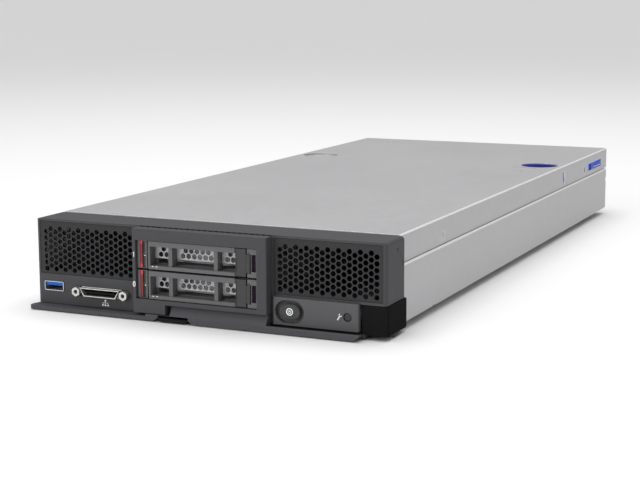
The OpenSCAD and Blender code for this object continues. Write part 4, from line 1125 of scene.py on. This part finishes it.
@dataclass
class Front(SubAssembly):
    """The bezel with its printed marks, ports and operator panel."""

    bezel: Extent = boxed("front_bezel")
    panel: Extent = boxed("operator_panel")
    power: Extent = boxed("power_button")
    reset: Extent = boxed("reset_button")
    usb: Extent = boxed("usb_shell")
    tongue: Extent = boxed("usb_tongue")
    console: Extent = boxed("console_shell")
    insert: Extent = boxed("console_insert")
    jacks: Extent = boxed("console_jacks")
    skin: float = 0.03
    digit: float = 3.1
    digit_line: float = 0.42
    digit_inset: float = 1.35
    tile: Point = (0.5, 0.42)
    usb_pitch: float = 2.2
    pin_pitch: float = 1.27
    pins: int = 16
    thread: float = 0.5
    face_inset: float = 0.3

    def dress(self) -> None:
        """Covers the front's nodes."""
        BEZEL_BLACK.cover("front_bezel")
        GRILLE_PAINT.cover("intake_grille_left", "intake_grille_right")
        PANEL_GREY.cover("operator_panel")
        KEY_GLOSS.cover("power_button")
        KEY_DARK.cover("reset_button")
        NICKEL.cover("usb_shell", "console_shell", "console_jacks")
        BLUE_TONGUE.cover("usb_tongue")
        BLACK_NYLON.cover("console_insert")
        BLACK_SCREW.cover("bezel_screws")

    def build(self) -> None:
        """Prints the marks and fits the contacts, lens and threads."""
        self.bay_numbers()
        self.network_mark()
        self.power_mark()
        self.wrench_mark()
        self.port_lens()
        self.usb_contacts()
        self.console_contacts()
        self.jack_threads()

    def bay_numbers(self) -> None:
        """Prints 0 and 1 on the surround's left rim, level with their trays."""
        half = self.digit / 2
        for bay in (0, 1):
            tray = Extent(f"drive_tray_{bay}")
            origin = (tray.low.x - self.digit_inset, self.bezel.low.y, tray.middle.z)
            ink = Workpiece(f"bay_number_{bay}")
            if bay:
                flag = [(-0.5, half - 0.8), (0.15, half - 0.1), (0.15, 0.1 - half)]
                ink.stroke(flag, self.digit_line, origin, Facing.FRONT, self.skin)
            else:
                loop = Outline.arc(half - 0.2, 0, 345, 22, 0.45)
                ink.stroke(loop, self.digit_line, origin, Facing.FRONT, self.skin, closed=True)
            ink.done(GLOWING_WHITE_PRINT, "chassis", smooth=False)

    def network_mark(self) -> None:
        """Prints the small network tree under the console connector."""
        origin = (self.console.middle.x + 1.9, self.panel_face(), self.bezel.low.z + 2.9)
        ink = Workpiece("network_mark")
        w, h = self.tile
        for x, z in ((0.0, 1.35), (-1.7, -1.25), (0.0, -1.25), (1.7, -1.25)):
            tile = [(x - w, z - h), (x + w, z - h), (x + w, z + h), (x - w, z + h)]
            ink.slab(tile, origin, Facing.FRONT, self.skin)
        for line in (
            [(0.0, 0.93), (0.0, -0.83)], [(-1.7, 0.05), (1.7, 0.05)],
            [(-1.7, 0.05), (-1.7, -0.83)], [(1.7, 0.05), (1.7, -0.83)],
        ):
            ink.stroke(line, 0.2, origin, Facing.FRONT, self.skin)
        ink.done(GLOWING_WHITE_PRINT, "chassis", smooth=False)

    def panel_face(self) -> float:
        """The bezel's own front face, behind the operator panel and the surround."""
        return Extent("intake_grille_left").low.y - self.face_inset

    def power_mark(self) -> None:
        """Sets the lit power symbol into the power button."""
        origin = (self.power.middle.x, self.power.low.y, self.power.middle.z)
        mark = Workpiece("power_symbol")
        mark.ring(1.75, 0.24, origin, Facing.FRONT, 0.4)
        mark.stroke([(0.0, -0.1), (0.0, 0.85)], 0.4, origin, Facing.FRONT, 0.08)
        mark.stroke(Outline.arc(0.85, 120, 420, 14), 0.3, origin, Facing.FRONT, 0.08)
        mark.done(LAMP_WHITE, "power_key")
        dish = Workpiece("power_rim")
        rim = Outline.round_rect(self.power.span.x - 0.6, self.power.span.z - 0.6, 3.6, 8)
        dish.stroke(rim, 0.35, origin, Facing.FRONT, 0.06, closed=True)
        dish.done(KEY_DARK, "power_key")

    def wrench_mark(self) -> None:
        """Prints the small spanner beside the recessed button."""
        origin = (self.reset.middle.x - 4.6, self.panel.low.y, self.reset.middle.z - 0.1)
        ink = Workpiece("wrench_mark")
        ink.stroke([(-1.0, -1.75), (0.35, 0.45)], 0.62, origin, Facing.FRONT, self.skin)
        jaw = [(0.72 + x, 1.05 + z) for x, z in Outline.arc(0.72, 120, 330, 10)]
        ink.stroke(jaw, 0.42, origin, Facing.FRONT, self.skin)
        ink.done(GLOWING_WHITE_PRINT, "chassis", smooth=False)

    def port_lens(self) -> None:
        """Fits the small lamp lens between the two ports."""
        centre = (self.usb.middle.x + 11.5, self.panel_face() + 1.2, self.usb.middle.z - 0.9)
        lens = Workpiece("port_lens")
        lens.turned([(0.4, 0.0), (0.4, 0.6), (0.3, 0.85), (0.12, 0.95)], centre, Facing.FRONT, 12)
        lens.done(LAMP_OFF, "chassis")

    def usb_contacts(self) -> None:
        """Lays the four contacts on the tongue."""
        low = self.tongue.low
        pads = Workpiece("usb_contacts")
        for i in range(4):
            x = self.tongue.middle.x + (i - 1.5) * self.usb_pitch
            outline = Outline.round_rect(1.1, 4.5, 0.3, 2)
            pads.slab(outline, (x, low.y + 3.6, low.z + 0.02), Facing.BOTTOM, 0.06, 0.04)
        pads.done(GOLD, "chassis")

    def console_contacts(self) -> None:
        """Stands two rows of contacts along the console connector's blade."""
        rows = Workpiece("console_contacts")
        for i in range(self.pins):
            x = self.insert.middle.x + (i - (self.pins - 1) / 2) * self.pin_pitch
            for z, way in ((self.insert.high.z, Facing.TOP), (self.insert.low.z, Facing.BOTTOM)):
                outline = Outline.round_rect(0.55, 2.2, 0.2, 2)
                depth = 0.02 if way is Facing.TOP else -0.02
                rows.slab(outline, (x, self.insert.low.y + 1.5, z + depth), way, 0.06, 0.03)
        rows.done(GOLD, "chassis")

    def jack_threads(self) -> None:
        """Cuts the look of a thread into the two hexagonal standoffs."""
        threads = Workpiece("jack_threads")
        for end in (self.jacks.low.x, self.jacks.high.x):
            x = end + (2.4 if end == self.jacks.low.x else -2.4)
            for turn in range(5):
                y = self.jacks.low.y + (turn + 1) * self.thread
                centre = (x, y, self.jacks.middle.z)
                threads.ring(1.12, 0.09, centre, Facing.FRONT)
        threads.done(DARK_PIN, "chassis")


@dataclass
class Handle(SubAssembly):
    """The swinging front handle with its thumb plate and release."""

    bar: Extent = boxed("front_handle")
    cam: Extent = boxed("handle_cam")
    thumb: Point = (-16.5, 41.4)
    lip: float = 3.9

    def dress(self) -> None:
        """Covers the handle's nodes."""
        PanelMoulding(
            "handle_black", (0.010, 0.010, 0.010), (0.013, 0.013, 0.013), across=self.thumb,
            upward=(self.bar.low.z + self.lip, self.bar.high.z - 0.05), grain=0.3,
        ).cover("front_handle")
        CAM_BLACK.cover("handle_cam")
        TAB_BLACK.cover("handle_release")
        DARK_PIN.cover("handle_pin", "release_hinge_pin")

    def build(self) -> None:
        """Adds grip lines under the bar and a dished washer round the pin."""
        grip = Workpiece("handle_grip_lines")
        for i in range(5):
            x = self.bar.low.x + 20.0 + i * 3.0
            origin = (x, self.bar.low.y + 5.5, self.bar.low.z)
            grip.slab(Outline.round_rect(1.2, 6.0, 0.5, 3), origin, Facing.BOTTOM, 0.15, 0.1)
        grip.done(CAM_BLACK, "handle")
        top = Workpiece("cam_top_ring")
        pin = Extent("handle_pin")
        top.ring(4.2, 0.25, (pin.middle.x, pin.middle.y, self.cam.high.z), Facing.TOP, 0.4)
        top.done(CAM_BLACK, "handle")


@dataclass
class DriveTray(SubAssembly):
    """One drive tray with its light strip, lever, catch and disk."""

    bay: int = 0
    dots_at: Point = (10.1, 12.5)
    dot_rise: float = 1.5
    screw_reach: float = 29.0
    screw_rows: tuple[float, ...] = (-37.0, 1.0, 33.0)
    hub_back: float = 8.0

    def __post_init__(self) -> None:
        """Looks up the tray's boxes."""
        self.tray = Extent(f"drive_tray_{self.bay}")
        self.strip = Extent(f"status_strip_{self.bay}")
        self.lever = Extent(f"tray_lever_{self.bay}")
        self.catch = Extent(f"tray_release_{self.bay}")
        self.disk = Extent(f"disk_{self.bay}")
        self.body = f"drive_{self.bay}"

    def dress(self) -> None:
        """Covers the tray's nodes."""
        low, high = self.tray.low.z, self.tray.high.z
        hot = (high, low + 0.5) if self.bay else (high - 0.5, low - 6.0)
        LightGuide(f"light_guide_{self.bay}", seam=self.strip.low.x + 1.25, hot=hot).cover(
            f"status_strip_{self.bay}"
        )
        TRAY_GREY.cover(f"drive_tray_{self.bay}")
        STAMPED.cover(f"tray_grille_{self.bay}")
        LEVER_GLOSS.cover(f"tray_lever_{self.bay}")
        CATCH_PLUM.cover(f"tray_release_{self.bay}")
        DISK_CAST.cover(f"disk_{self.bay}")
        ZINC_SCREW.cover(f"disk_screws_{self.bay}")
        DARK_PIN.cover(f"lever_pin_{self.bay}")

    def build(self) -> None:
        """Fits the lamp, the two lip dots, the lever's painted highlight strips and the disk's lid
        details.
        """
        self.lamp()
        self.lip_dots()
        self.lever_painted_highlight()
        self.disk_lid()

    def lamp(self) -> None:
        """Fits the lit triangular lens beside the red strip."""
        origin = (self.strip.high.x - 0.95, self.strip.low.y + 0.65, self.tray.low.z + 7.6)
        lens = Workpiece(f"tray_lamp_{self.bay}")
        lens.slab([(-0.75, 0.0), (0.65, -0.85), (0.65, 0.85)], origin, Facing.FRONT, 0.5, 0.12)
        lens.done(LAMP_WARM, self.body)

    def lip_dots(self) -> None:
        """Sets two pale dots at the left end of the lower lip."""
        dots = Workpiece(f"lip_dots_{self.bay}")
        for offset in self.dots_at:
            x = self.tray.low.x + offset
            origin = (x, self.tray.low.y, self.tray.low.z + self.dot_rise)
            dots.slab(Outline.round_rect(1.0, 0.42, 0.2, 3), origin, Facing.FRONT, 0.05, 0.02)
        dots.done(GLOWING_WHITE_PRINT, self.body)

    def lever_painted_highlight(self) -> None:
        """Adds paler strips along the lever's hinge and its free edge, a painted highlight."""
        height = self.lever.span.z - 3.4
        # painted highlight: a paler bead on the hinge and a thin strip on the free edge
        bead = Workpiece(f"lever_highlight_strip_{self.bay}")
        outline = Outline.round_rect(1.1, height, 0.3, 3)
        origin = (self.lever.high.x - 0.95, self.lever.low.y + 0.25, self.lever.middle.z)
        bead.slab(outline, origin, Facing.FRONT, 0.22, 0.15)
        bead.slab(
            Outline.round_rect(0.35, self.lever.span.z - 1.0, 0.15, 3),
            (self.lever.low.x + 0.45, self.lever.low.y, self.lever.middle.z),
            Facing.FRONT, 0.12, 0.08,
        )
        bead.done(LEVER_HIGHLIGHT_PAINT, f"lever_{self.bay}")

    def disk_lid(self) -> None:
        """Presses the hub circle into the disk's lid and drives its six screws."""
        top = self.disk.high.z
        middle = self.disk.middle
        hub = Workpiece(f"disk_hub_{self.bay}")
        centre = (middle.x, middle.y - self.hub_back, top)
        hub.ring(24.0, 0.35, centre, Facing.TOP, 0.5)
        hub.ring(9.0, 0.3, centre, Facing.TOP, 0.5)
        hub.turned([(3.0, -0.05), (3.0, 0.15), (2.4, 0.3)], centre, Facing.TOP)
        hub.done(DISK_CAST, self.body)
        screws = Workpiece(f"lid_screws_{self.bay}")
        for x in (-1, 1):
            for y in self.screw_rows:
                spot = (middle.x + x * self.screw_reach, middle.y + y, top)
                screws.turned(
                    [(1.9, -0.05), (1.9, 0.18), (1.6, 0.32), (0.9, 0.32), (0.8, 0.1), (0.2, 0.1)],
                    spot, Facing.TOP, 18,
                )
        screws.done(ZINC_SCREW, self.body)


@dataclass
class Rear(SubAssembly):
    """The rear connectors and guides."""

    fabric: Extent = boxed("fabric_connectors")
    power: Extent = boxed("power_connector")
    guides: Extent = boxed("guide_blocks")
    column_pitch: float = 4.0
    columns: int = 10
    row_pitch: float = 2.0
    rows: int = 9
    block_width: float = 44.0
    blade_pitch: float = 6.0
    signal_pitch: Point = (3.0, 3.6)
    bore_inset: Point = (9.0, 7.0)
    bore_ring: float = 5.45

    def dress(self) -> None:
        """Covers the rear's nodes."""
        BLACK_NYLON.cover("fabric_connectors", "power_connector")
        CAST_ZINC.cover("guide_blocks")

    def build(self) -> None:
        """Fills the connectors with contacts and rings the guide bores."""
        self.fabric_contacts()
        self.power_contacts()
        self.bore_rings()

    def fabric_contacts(self) -> None:
        """Stands gold contacts in each column of the two fabric connectors."""
        pins = Workpiece("fabric_contacts")
        centre = self.fabric.high.x - 2.0 - self.block_width / 2
        for side in (-1, 1):
            for column in range(self.columns):
                x = side * (centre - 18.0 + column * self.column_pitch)
                for row in range(self.rows):
                    z = self.fabric.low.z + 3.4 + row * self.row_pitch
                    origin = (x, self.fabric.high.y - 3.0, z)
                    outline = Outline.round_rect(0.5, 0.9, 0.15, 1)
                    pins.slab(outline, origin, Facing.REAR, 2.2, 0.15, 0.0)
        pins.done(GOLD, "chassis")

    def power_contacts(self) -> None:
        """Stands the power blades and the signal pins in the power connector."""
        blades = Workpiece("power_contacts")
        low, back = self.power.low, self.power.high.y
        for i in range(4):
            x = self.power.middle.x - 18.8 + i * self.blade_pitch
            origin = (x, back - 5.0, low.z + 7.5)
            blades.slab(Outline.round_rect(1.2, 8.6, 0.3, 2), origin, Facing.REAR, 4.0, 0.25)
        for i in range(6):
            for j in range(3):
                x = self.power.middle.x + 5.7 + i * self.signal_pitch[0]
                origin = (x, back - 3.0, low.z + 3.7 + j * self.signal_pitch[1])
                blades.slab(Outline.round_rect(0.6, 0.6, 0.15, 1), origin, Facing.REAR, 2.4, 0.15)
        blades.done(GOLD, "chassis")

    def bore_rings(self) -> None:
        """Adds a worn bright ring round each guide bore's mouth."""
        rings = Workpiece("guide_rings")
        x = self.guides.high.x - self.bore_inset[0]
        z = self.guides.high.z - self.bore_inset[1]
        for side in (-1, 1):
            mouth = (side * x, self.guides.high.y, z)
            rings.ring(self.bore_ring, 0.2, mouth, Facing.REAR, 0.5)
        rings.done(ZINC_SCREW, "chassis")


@dataclass
class Inside(SubAssembly):
    """The boards and everything on them, under the cover."""

    board: Extent = boxed("system_board")
    sinks: Extent = boxed("heat_sinks")
    cell: Extent = boxed("coin_cell")
    stage_pitch: float = 13.0
    stages: int = 6
    switch_back: float = 8.2
    can_front: float = 11.5
    can_profile: tuple[Point, ...] = (
        (2.6, 0.0), (3.1, 0.3), (3.1, 0.9), (2.9, 1.1), (3.1, 1.3), (3.1, 6.6), (2.7, 7.0)
    )

    def dress(self) -> None:
        """Covers the inner nodes."""
        BOARD.cover(
            "system_board", "panel_board", "front_io_board", "drive_backplane",
            "memory_modules", "boot_module", "io_cards",
        )
        CAGE_SHEET.cover("drive_cage")
        BLACK_NYLON.cover("backplane_sockets", "memory_sockets", "io_risers", "air_baffle")
        IVORY_NYLON.cover("processor_sockets")
        CHIP_LID.cover("processors")
        ALUMINIUM.cover("heat_sinks", "chipset_sink")
        BRASS.cover("board_standoffs")
        ZINC_SCREW.cover("board_screws", "coin_cell")

    def build(self) -> None:
        """Places the power stage between the heat sinks and the cell's clip."""
        self.power_stage()
        self.cell_clip()

    def power_stage(self) -> None:
        """Sets a row of chokes, a row of switching chips and a row of capacitors between the heat
        sinks.
        """
        top = self.board.high.z
        y = self.sinks.middle.y
        chokes = Workpiece("power_chokes")
        cans = Workpiece("power_capacitors")
        chips = Workpiece("power_switches")
        for i in range(self.stages):
            x = (i - (self.stages - 1) / 2) * self.stage_pitch
            choke = Outline.round_rect(9.0, 9.0, 0.8, 3)
            switch = Outline.round_rect(5.0, 4.0, 0.2, 1)
            chokes.slab(choke, (x, y, top), Facing.TOP, 6.0, 0.6)
            chips.slab(switch, (x, y - self.switch_back, top), Facing.TOP, 0.9, 0.1)
            cans.turned(self.can_profile, (x, y + self.can_front, top), Facing.TOP)
        chokes.done(FERRITE, "chassis")
        cans.done(ALUMINIUM, "chassis")
        chips.done(CHIP_RESIN, "chassis")

    def cell_clip(self) -> None:
        """Bends a spring clip over the coin cell."""
        low, high, middle = self.cell.low, self.cell.high, self.cell.middle
        clip = Workpiece("cell_clip")
        path = [
            (middle.x, low.y - 1.2, low.z), (middle.x, low.y - 1.2, high.z),
            (middle.x, low.y - 0.6, high.z + 0.6), (middle.x, low.y + 2.0, high.z + 0.45),
            (middle.x, low.y + 5.0, high.z + 0.4),
        ]
        clip.tube(path, 0.35)
        clip.done(ZINC_SCREW, "chassis")


@dataclass
class Studio:
    """The camera, the lamps and the paper floor."""

    place: tuple[float, float, float] = (0.3792, -0.9186, 0.1797)
    turn: float = 24.09
    drop: float = 9.087
    roll: float = -0.125
    lens: float = 81.83
    shift: Point = (-0.0137, -0.0282)
    bright: float = 1.0
    dull: float = 0.17
    paper_half: float = 6.0
    paper_flat: float = 3.0
    paper_rise: float = 0.06
    paper_gap: float = 0.0004

    def camera(self) -> None:
        """Sets the camera at the matched view."""
        data = bpy.data.cameras.new("camera")
        data.lens, data.sensor_width = self.lens, 36.0
        data.shift_x, data.shift_y = self.shift
        a, e, r = (math.radians(v) for v in (self.turn, self.drop, self.roll))
        right = Vector((math.cos(a), math.sin(a), 0.0))
        ahead = Vector((-math.sin(a) * math.cos(e), math.cos(a) * math.cos(e), -math.sin(e)))
        up = right.cross(ahead)
        across = right * math.cos(r) + up * math.sin(r)
        rising = up * math.cos(r) - right * math.sin(r)
        camera = bpy.data.objects.new("camera", data)
        turned = Matrix((across, rising, -ahead)).transposed().to_4x4()
        camera.matrix_world = Matrix.Translation(Vector(self.place)) @ turned
        bpy.context.scene.collection.objects.link(camera)
        bpy.context.scene.camera = camera

    def lamp(self, name: str, place: Sequence[float], size: float, power: float) -> None:
        """Adds a soft square lamp that looks at the server.

        Args:
            name: the lamp's name.
            place: where it hangs, in metres.
            size: its side, in metres.
            power: its power in watts.
        """
        data = bpy.data.lights.new(name, "AREA")
        data.shape, data.size, data.energy = "SQUARE", size, power
        lamp = bpy.data.objects.new(name, data)
        lamp.location = place
        lamp.rotation_mode = "QUATERNION"
        lamp.rotation_quaternion = (-Vector(place)).to_track_quat("-Z", "Y")
        bpy.context.scene.collection.objects.link(lamp)

    def floor(self) -> None:
        """Lays the paper under the server, gently dished up at its far edges."""
        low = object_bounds()[0].z
        sheet = bmesh.new()
        bmesh.ops.create_grid(sheet, x_segments=40, y_segments=40, size=self.paper_half)
        for vert in sheet.verts:
            reach = max(0.0, vert.co.xy.length - self.paper_flat)
            vert.co.z = low - self.paper_gap + reach * reach * self.paper_rise
        data = bpy.data.meshes.new("paper_floor")
        sheet.to_mesh(data)
        sheet.free()
        data.shade_smooth()
        data.materials.append(StudioFloor("paper").material())
        floor = bpy.data.objects.new("paper_floor", data)
        bpy.context.scene.collection.objects.link(floor)
        floor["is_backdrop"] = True

    def surround(self) -> None:
        """Lights the scene from all round, duller on the right than at the back and above."""
        world = bpy.data.worlds.new("studio_surround")
        graph = Graph(world)
        x, y, z = graph.parts(graph.place("Generated"))
        behind = (y * 0.91 - x * 0.41).step(0.80, 0.93) * (1.0 - z.step(0.02, 0.10))
        share = behind.most(z.step(0.25, 0.9))
        grey = (self.dull,) * 3
        white = (self.bright,) * 3
        backdrop = graph.node(
            "ShaderNodeBackground", None, {"Color": graph.mix(share, grey, white), "Strength": 1.0}
        )
        graph.node("ShaderNodeOutputWorld", None, {0: Wire(graph, backdrop.outputs[0])})
        bpy.context.scene.world = world

    def build(self) -> None:
        """Sets up the whole studio."""
        self.camera()
        self.surround()
        bpy.context.scene.view_settings.view_transform = "Standard"
        self.lamp("overhead", (0.0, 0.1, 1.6), 1.4, 13.0)
        self.lamp("front_fill", (-0.5, -1.6, 0.6), 1.0, 8.0)
        self.floor()


def main() -> None:
    """Builds the studio, then dresses and details each sub-assembly in order."""
    logging.basicConfig(level=logging.INFO, format="%(name)s: %(message)s")
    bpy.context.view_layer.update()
    Studio().build()
    parts: list[SubAssembly] = [
        Shell(), Front(), Handle(), DriveTray(0), DriveTray(1), Rear(), Inside()
    ]
    for part in parts:
        part.dress()
        part.build()
        log.info("%s finished", type(part).__name__)


if __name__ == "__main__":
    main()
